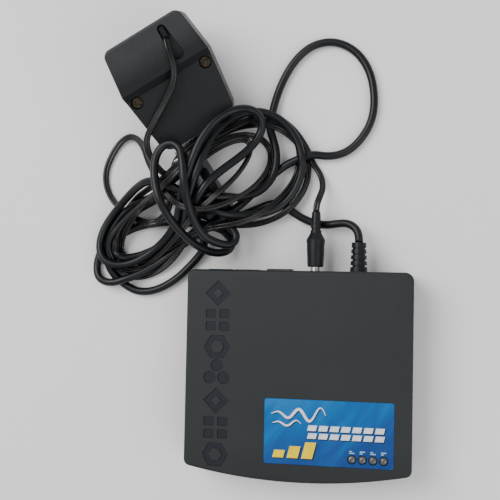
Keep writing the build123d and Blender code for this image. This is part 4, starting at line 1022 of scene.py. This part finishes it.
def wound_finish(name, dark, light, scale, axis, shine, metallic=0.0):
    """Fine parallel lines across one axis: wire turns, tape edges or stacked sheets."""
    material, tree, shader, add = new_material(name)
    where = place_nodes(tree, add)
    lines = stripes(tree, add, where, scale, 0.4, axis)
    cloud = noise(tree, add, where, 120.0, 4.0)
    colour = blend(tree, add, lines, dark,
                   ramp(tree, add, cloud, [(0.3, light), (0.7, tuple(c * 0.75 for c in light))]))
    tree.links.new(colour, shader.inputs["Base Color"])
    tree.links.new(span(tree, add, cloud, 0.3, 0.7, shine - 0.06, shine + 0.08), shader.inputs["Roughness"])
    shader.inputs["Metallic"].default_value = metallic
    bump(tree, add, shader, lines, 0.0001, 0.7)
    return material


give(board_finish(), "circuit_board")
for chip, leg in (("modem_chip", 0.0012), ("controller_chip", 0.0012), ("memory_chip", 0.0010)):
    give(chip_finish(chip, leg), chip)
chip_plastic = moulded("moulded_black", (0.010, 0.010, 0.011), (0.018, 0.018, 0.019), 2600.0, 0.00004,
                       0.48, 130.0)[0]
give(chip_plastic, "regulator", "speaker", "plug_insulator", "connector_insert")
jack_plastic = moulded("jack_plastic", (0.014, 0.014, 0.015), (0.024, 0.024, 0.025), 1700.0, 0.00003,
                       0.32, 80.0, 0.2)[0]
give(jack_plastic, "line_jack", "phone_jack", "power_socket", "switch_frame", "switch_rocker")
nylon = moulded("nylon", (0.60, 0.57, 0.48), (0.70, 0.68, 0.60), 1200.0, 0.00003, 0.4, 90.0)[0]
nylon.node_tree.nodes["Principled BSDF"].inputs["Subsurface Weight"].default_value = 0.1
give(nylon, "hook_relay", "serial_header", "header_plug", "transformer_spool")
give(wound_finish("sleeve_film", (0.008, 0.012, 0.05), (0.018, 0.028, 0.11), 60.0, "X", 0.28), "capacitors")
give(wound_finish("polyester_tape", (0.40, 0.27, 0.03), (0.66, 0.48, 0.07), 150.0, "Z", 0.3),
     "line_transformer")
give(wound_finish("enamelled_wire", (0.16, 0.05, 0.015), (0.48, 0.19, 0.06), 900.0, "Y", 0.26, 0.8),
     "transformer_winding")
give(wound_finish("stacked_sheets", (0.05, 0.05, 0.052), (0.20, 0.20, 0.21), 620.0, "X", 0.42, 0.9),
     "transformer_core")
print("nodes with a finish", sum(1 for node in nodes.values() if node.data.materials))

# %% [markdown]
# ## The print on the label
# The label carries a wave, two rows of slanted bars, three rising blocks and four small marks over the lamps.
# Each is a thin slab that stands a few hundredths of a millimetre out of the film, and the larger ones have a
# dark copy under them, moved down and to the right, which reads as a printed shadow.

# %% Thin printed slabs
label_low, label_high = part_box("label_plate")
film_top = label_high[2]


def on_label(across, down):
    """Plan place on the label, from distances in millimetres right of its left edge and below its top."""
    return label_low[0] + across * MM, label_high[1] - down * MM


def slabs(name, strips, height, shift=(0.0, 0.0)):
    """Flat closed slabs in one mesh.  A strip is a list of (left, right) plan pairs in label millimetres;
    height is how far its top stands out of the film, in millimetres."""
    points, faces = [], []
    for strip in strips:
        start = len(points)
        for left, right in strip:
            for side, level in ((left, -0.03), (right, -0.03), (right, height), (left, height)):
                x, y = on_label(side[0] + shift[0], side[1] + shift[1])
                points.append((x, y, film_top + level * MM))
        for row in range(len(strip) - 1):
            base = start + 4 * row
            faces += [(base + a, base + b, base + 4 + b, base + 4 + a)
                      for a, b in ((0, 1), (1, 2), (2, 3), (3, 0))]
        last = start + 4 * (len(strip) - 1)
        faces += [(start + 3, start + 2, start + 1, start), (last, last + 1, last + 2, last + 3)]
    mesh = bpy.data.meshes.new(name)
    mesh.from_pydata(points, [], faces)
    mesh.update()
    piece = add_object(name, mesh)
    return piece


def wave_strip(start, end, middle, height, crests, thick):
    """A ribbon on a wave that grows towards its end: y = middle - height share^0.6 sin(2 pi crests share).
    It is thickest halfway and thin at both ends."""
    share = np.linspace(0, 1, 72)
    across = start + (end - start) * share
    down = middle - height * share ** 0.6 * np.sin(2 * np.pi * crests * share)
    slope = np.gradient(down, across)
    half = thick * (0.25 + np.sin(np.pi * share)) / 2
    away = np.stack([slope, -np.ones_like(slope)], axis=1) / np.sqrt(1 + slope ** 2)[:, None]
    line = np.stack([across, down], axis=1)
    return list(zip((line + away * half[:, None]).tolist(), (line - away * half[:, None]).tolist()))


def bar(left, top, width, height, slant=0.25):
    """A slanted bar: its top is moved right by a quarter of its height."""
    lean = slant * height
    return [((left + lean, top), (left + lean + width, top)),
            ((left, top + height), (left + width, top + height))]


wave = [wave_strip(4.0, 35.0, 8.4, 4.4, 2.5, 1.3), wave_strip(4.6, 21.0, 13.6, 2.0, 1.5, 0.9)]
bar_tops = [(0.0, 3.1), (4.4, 3.1)]
bars = [bar(24.6 + 6.3 * column, 14.2 + top, 4.9, height)
        for column in range(7) for top, height in bar_tops]
blocks = [bar(5.0 + 8.2 * step, 28.8 - 2.5 * step, 6.2, 4.2 + 2.5 * step) for step in range(3)]
lamp_places = [0.5 * (np.array(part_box(lamp)[0]) + np.array(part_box(lamp)[1]))
               for lamp in ("hook_lamp", "send_lamp", "receive_lamp", "power_lamp")]
marks = []
for number, lamp in enumerate(lamp_places):
    left = (lamp[0] - label_low[0]) / MM
    for line in range(2):
        marks.append(bar(left - 1.5, 27.3 + 1.0 * line, 3.0 if (number + line) % 2 else 1.6, 0.6, 0.0))

wave_shadow = slabs("wave_shadow", wave, 0.02, (0.45, 0.5))
wave_print = slabs("wave_print", wave, 0.05)
bars_shadow = slabs("bars_shadow", bars, 0.02, (0.5, 0.6))
bars_print = slabs("bars_print", bars, 0.05)
blocks_shadow = slabs("blocks_shadow", blocks, 0.02, (0.7, 0.6))
blocks_print = slabs("blocks_print", blocks, 0.05)
marks_print = slabs("marks_print", marks, 0.04)
print("printed strips", len(wave) + len(bars) + len(blocks) + len(marks))


# %% [markdown]
# ## Inks
# Screen-printed ink lies flat and has a slightly uneven colour. Its gloss is kept low, because a bright
# reflection would wash the pale inks out against the film.

# %% Inks
def ink(name, dark, light):
    """Screen-printed ink: slightly uneven in colour, with a soft edge to its gloss."""
    material, tree, shader, add = new_material(name)
    where = place_nodes(tree, add)
    cloud = noise(tree, add, where, 260.0, 4.0)
    tree.links.new(ramp(tree, add, cloud, [(0.3, dark), (0.7, light)]), shader.inputs["Base Color"])
    tree.links.new(span(tree, add, cloud, 0.3, 0.7, 0.26, 0.38), shader.inputs["Roughness"])
    shader.inputs["Specular IOR Level"].default_value = 0.16
    bump(tree, add, shader, noise(tree, add, where, 900.0), 0.00001, 0.5)
    return material


white_ink = ink("white_ink", (0.66, 0.68, 0.70), (0.78, 0.80, 0.82))
dark_ink = ink("dark_ink", (0.008, 0.014, 0.05), (0.014, 0.022, 0.075))
give(white_ink, wave_print, bars_print)
give(dark_ink, wave_shadow, bars_shadow, blocks_shadow)
give(ink("yellow_ink", (0.80, 0.58, 0.000), (0.94, 0.72, 0.000)), blocks_print)
give(ink("pale_ink", (0.24, 0.42, 0.62), (0.34, 0.52, 0.70)), marks_print)


# %% [markdown]
# ## Cups inside the lamps
# A clear lamp shows the small metal cup that its die sits in. Modelling it inside the resin gives a real
# glint that moves with the view; painting it on would not. A turned outline, one closed ring for each
# lamp, is all it takes.

# %% Cups inside the lamps
def lathe(name, outlines, centres, body="modem"):
    """Closed rings: each (radius, height) outline, in millimetres, is turned about each centre."""
    angle = np.linspace(0, 2 * np.pi, 29)[:-1]
    points, faces = [], []
    for centre in centres:
        for outline in outlines:
            radius, height = np.array(outline, float).T * MM
            grid = np.stack([
                centre[0] + np.outer(np.cos(angle), radius),
                centre[1] + np.outer(np.sin(angle), radius),
                centre[2] + np.outer(np.ones_like(angle), height),
            ], axis=2)
            index = np.arange(grid.shape[0] * grid.shape[1]).reshape(grid.shape[:2]) + len(points)
            index = np.hstack([np.vstack([index, index[:1]]), np.vstack([index, index[:1]])[:, :1]])
            faces += np.stack([index[:-1, :-1], index[1:, :-1], index[1:, 1:], index[:-1, 1:]],
                              axis=2).reshape(-1, 4).tolist()
            points += grid.reshape(-1, 3).tolist()
    mesh = bpy.data.meshes.new(name)
    mesh.from_pydata(points, [], faces)
    mesh.polygons.foreach_set("use_smooth", np.ones(len(mesh.polygons), bool))
    mesh.update()
    return add_object(name, mesh, body)


lamp_low, lamp_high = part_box("hook_lamp")
lamp_base = [(place[0], place[1], film_top) for place in lamp_places]
cup_outline = [(1.5, -0.4), (0.25, -0.4), (0.25, -0.1), (1.1, 0.45), (1.5, 0.45)]
lamp_cups = lathe("lamp_cups", [cup_outline], lamp_base)
give(metal("cup_silver", (0.34, 0.34, 0.33), (0.58, 0.57, 0.55), 0.22, 500.0)[0], lamp_cups)
print("lamp from", round(lamp_low[2] / MM, 2), "to", round(lamp_high[2] / MM, 2), "radius",
      round((lamp_high[0] - lamp_low[0]) / 2 / MM, 2))
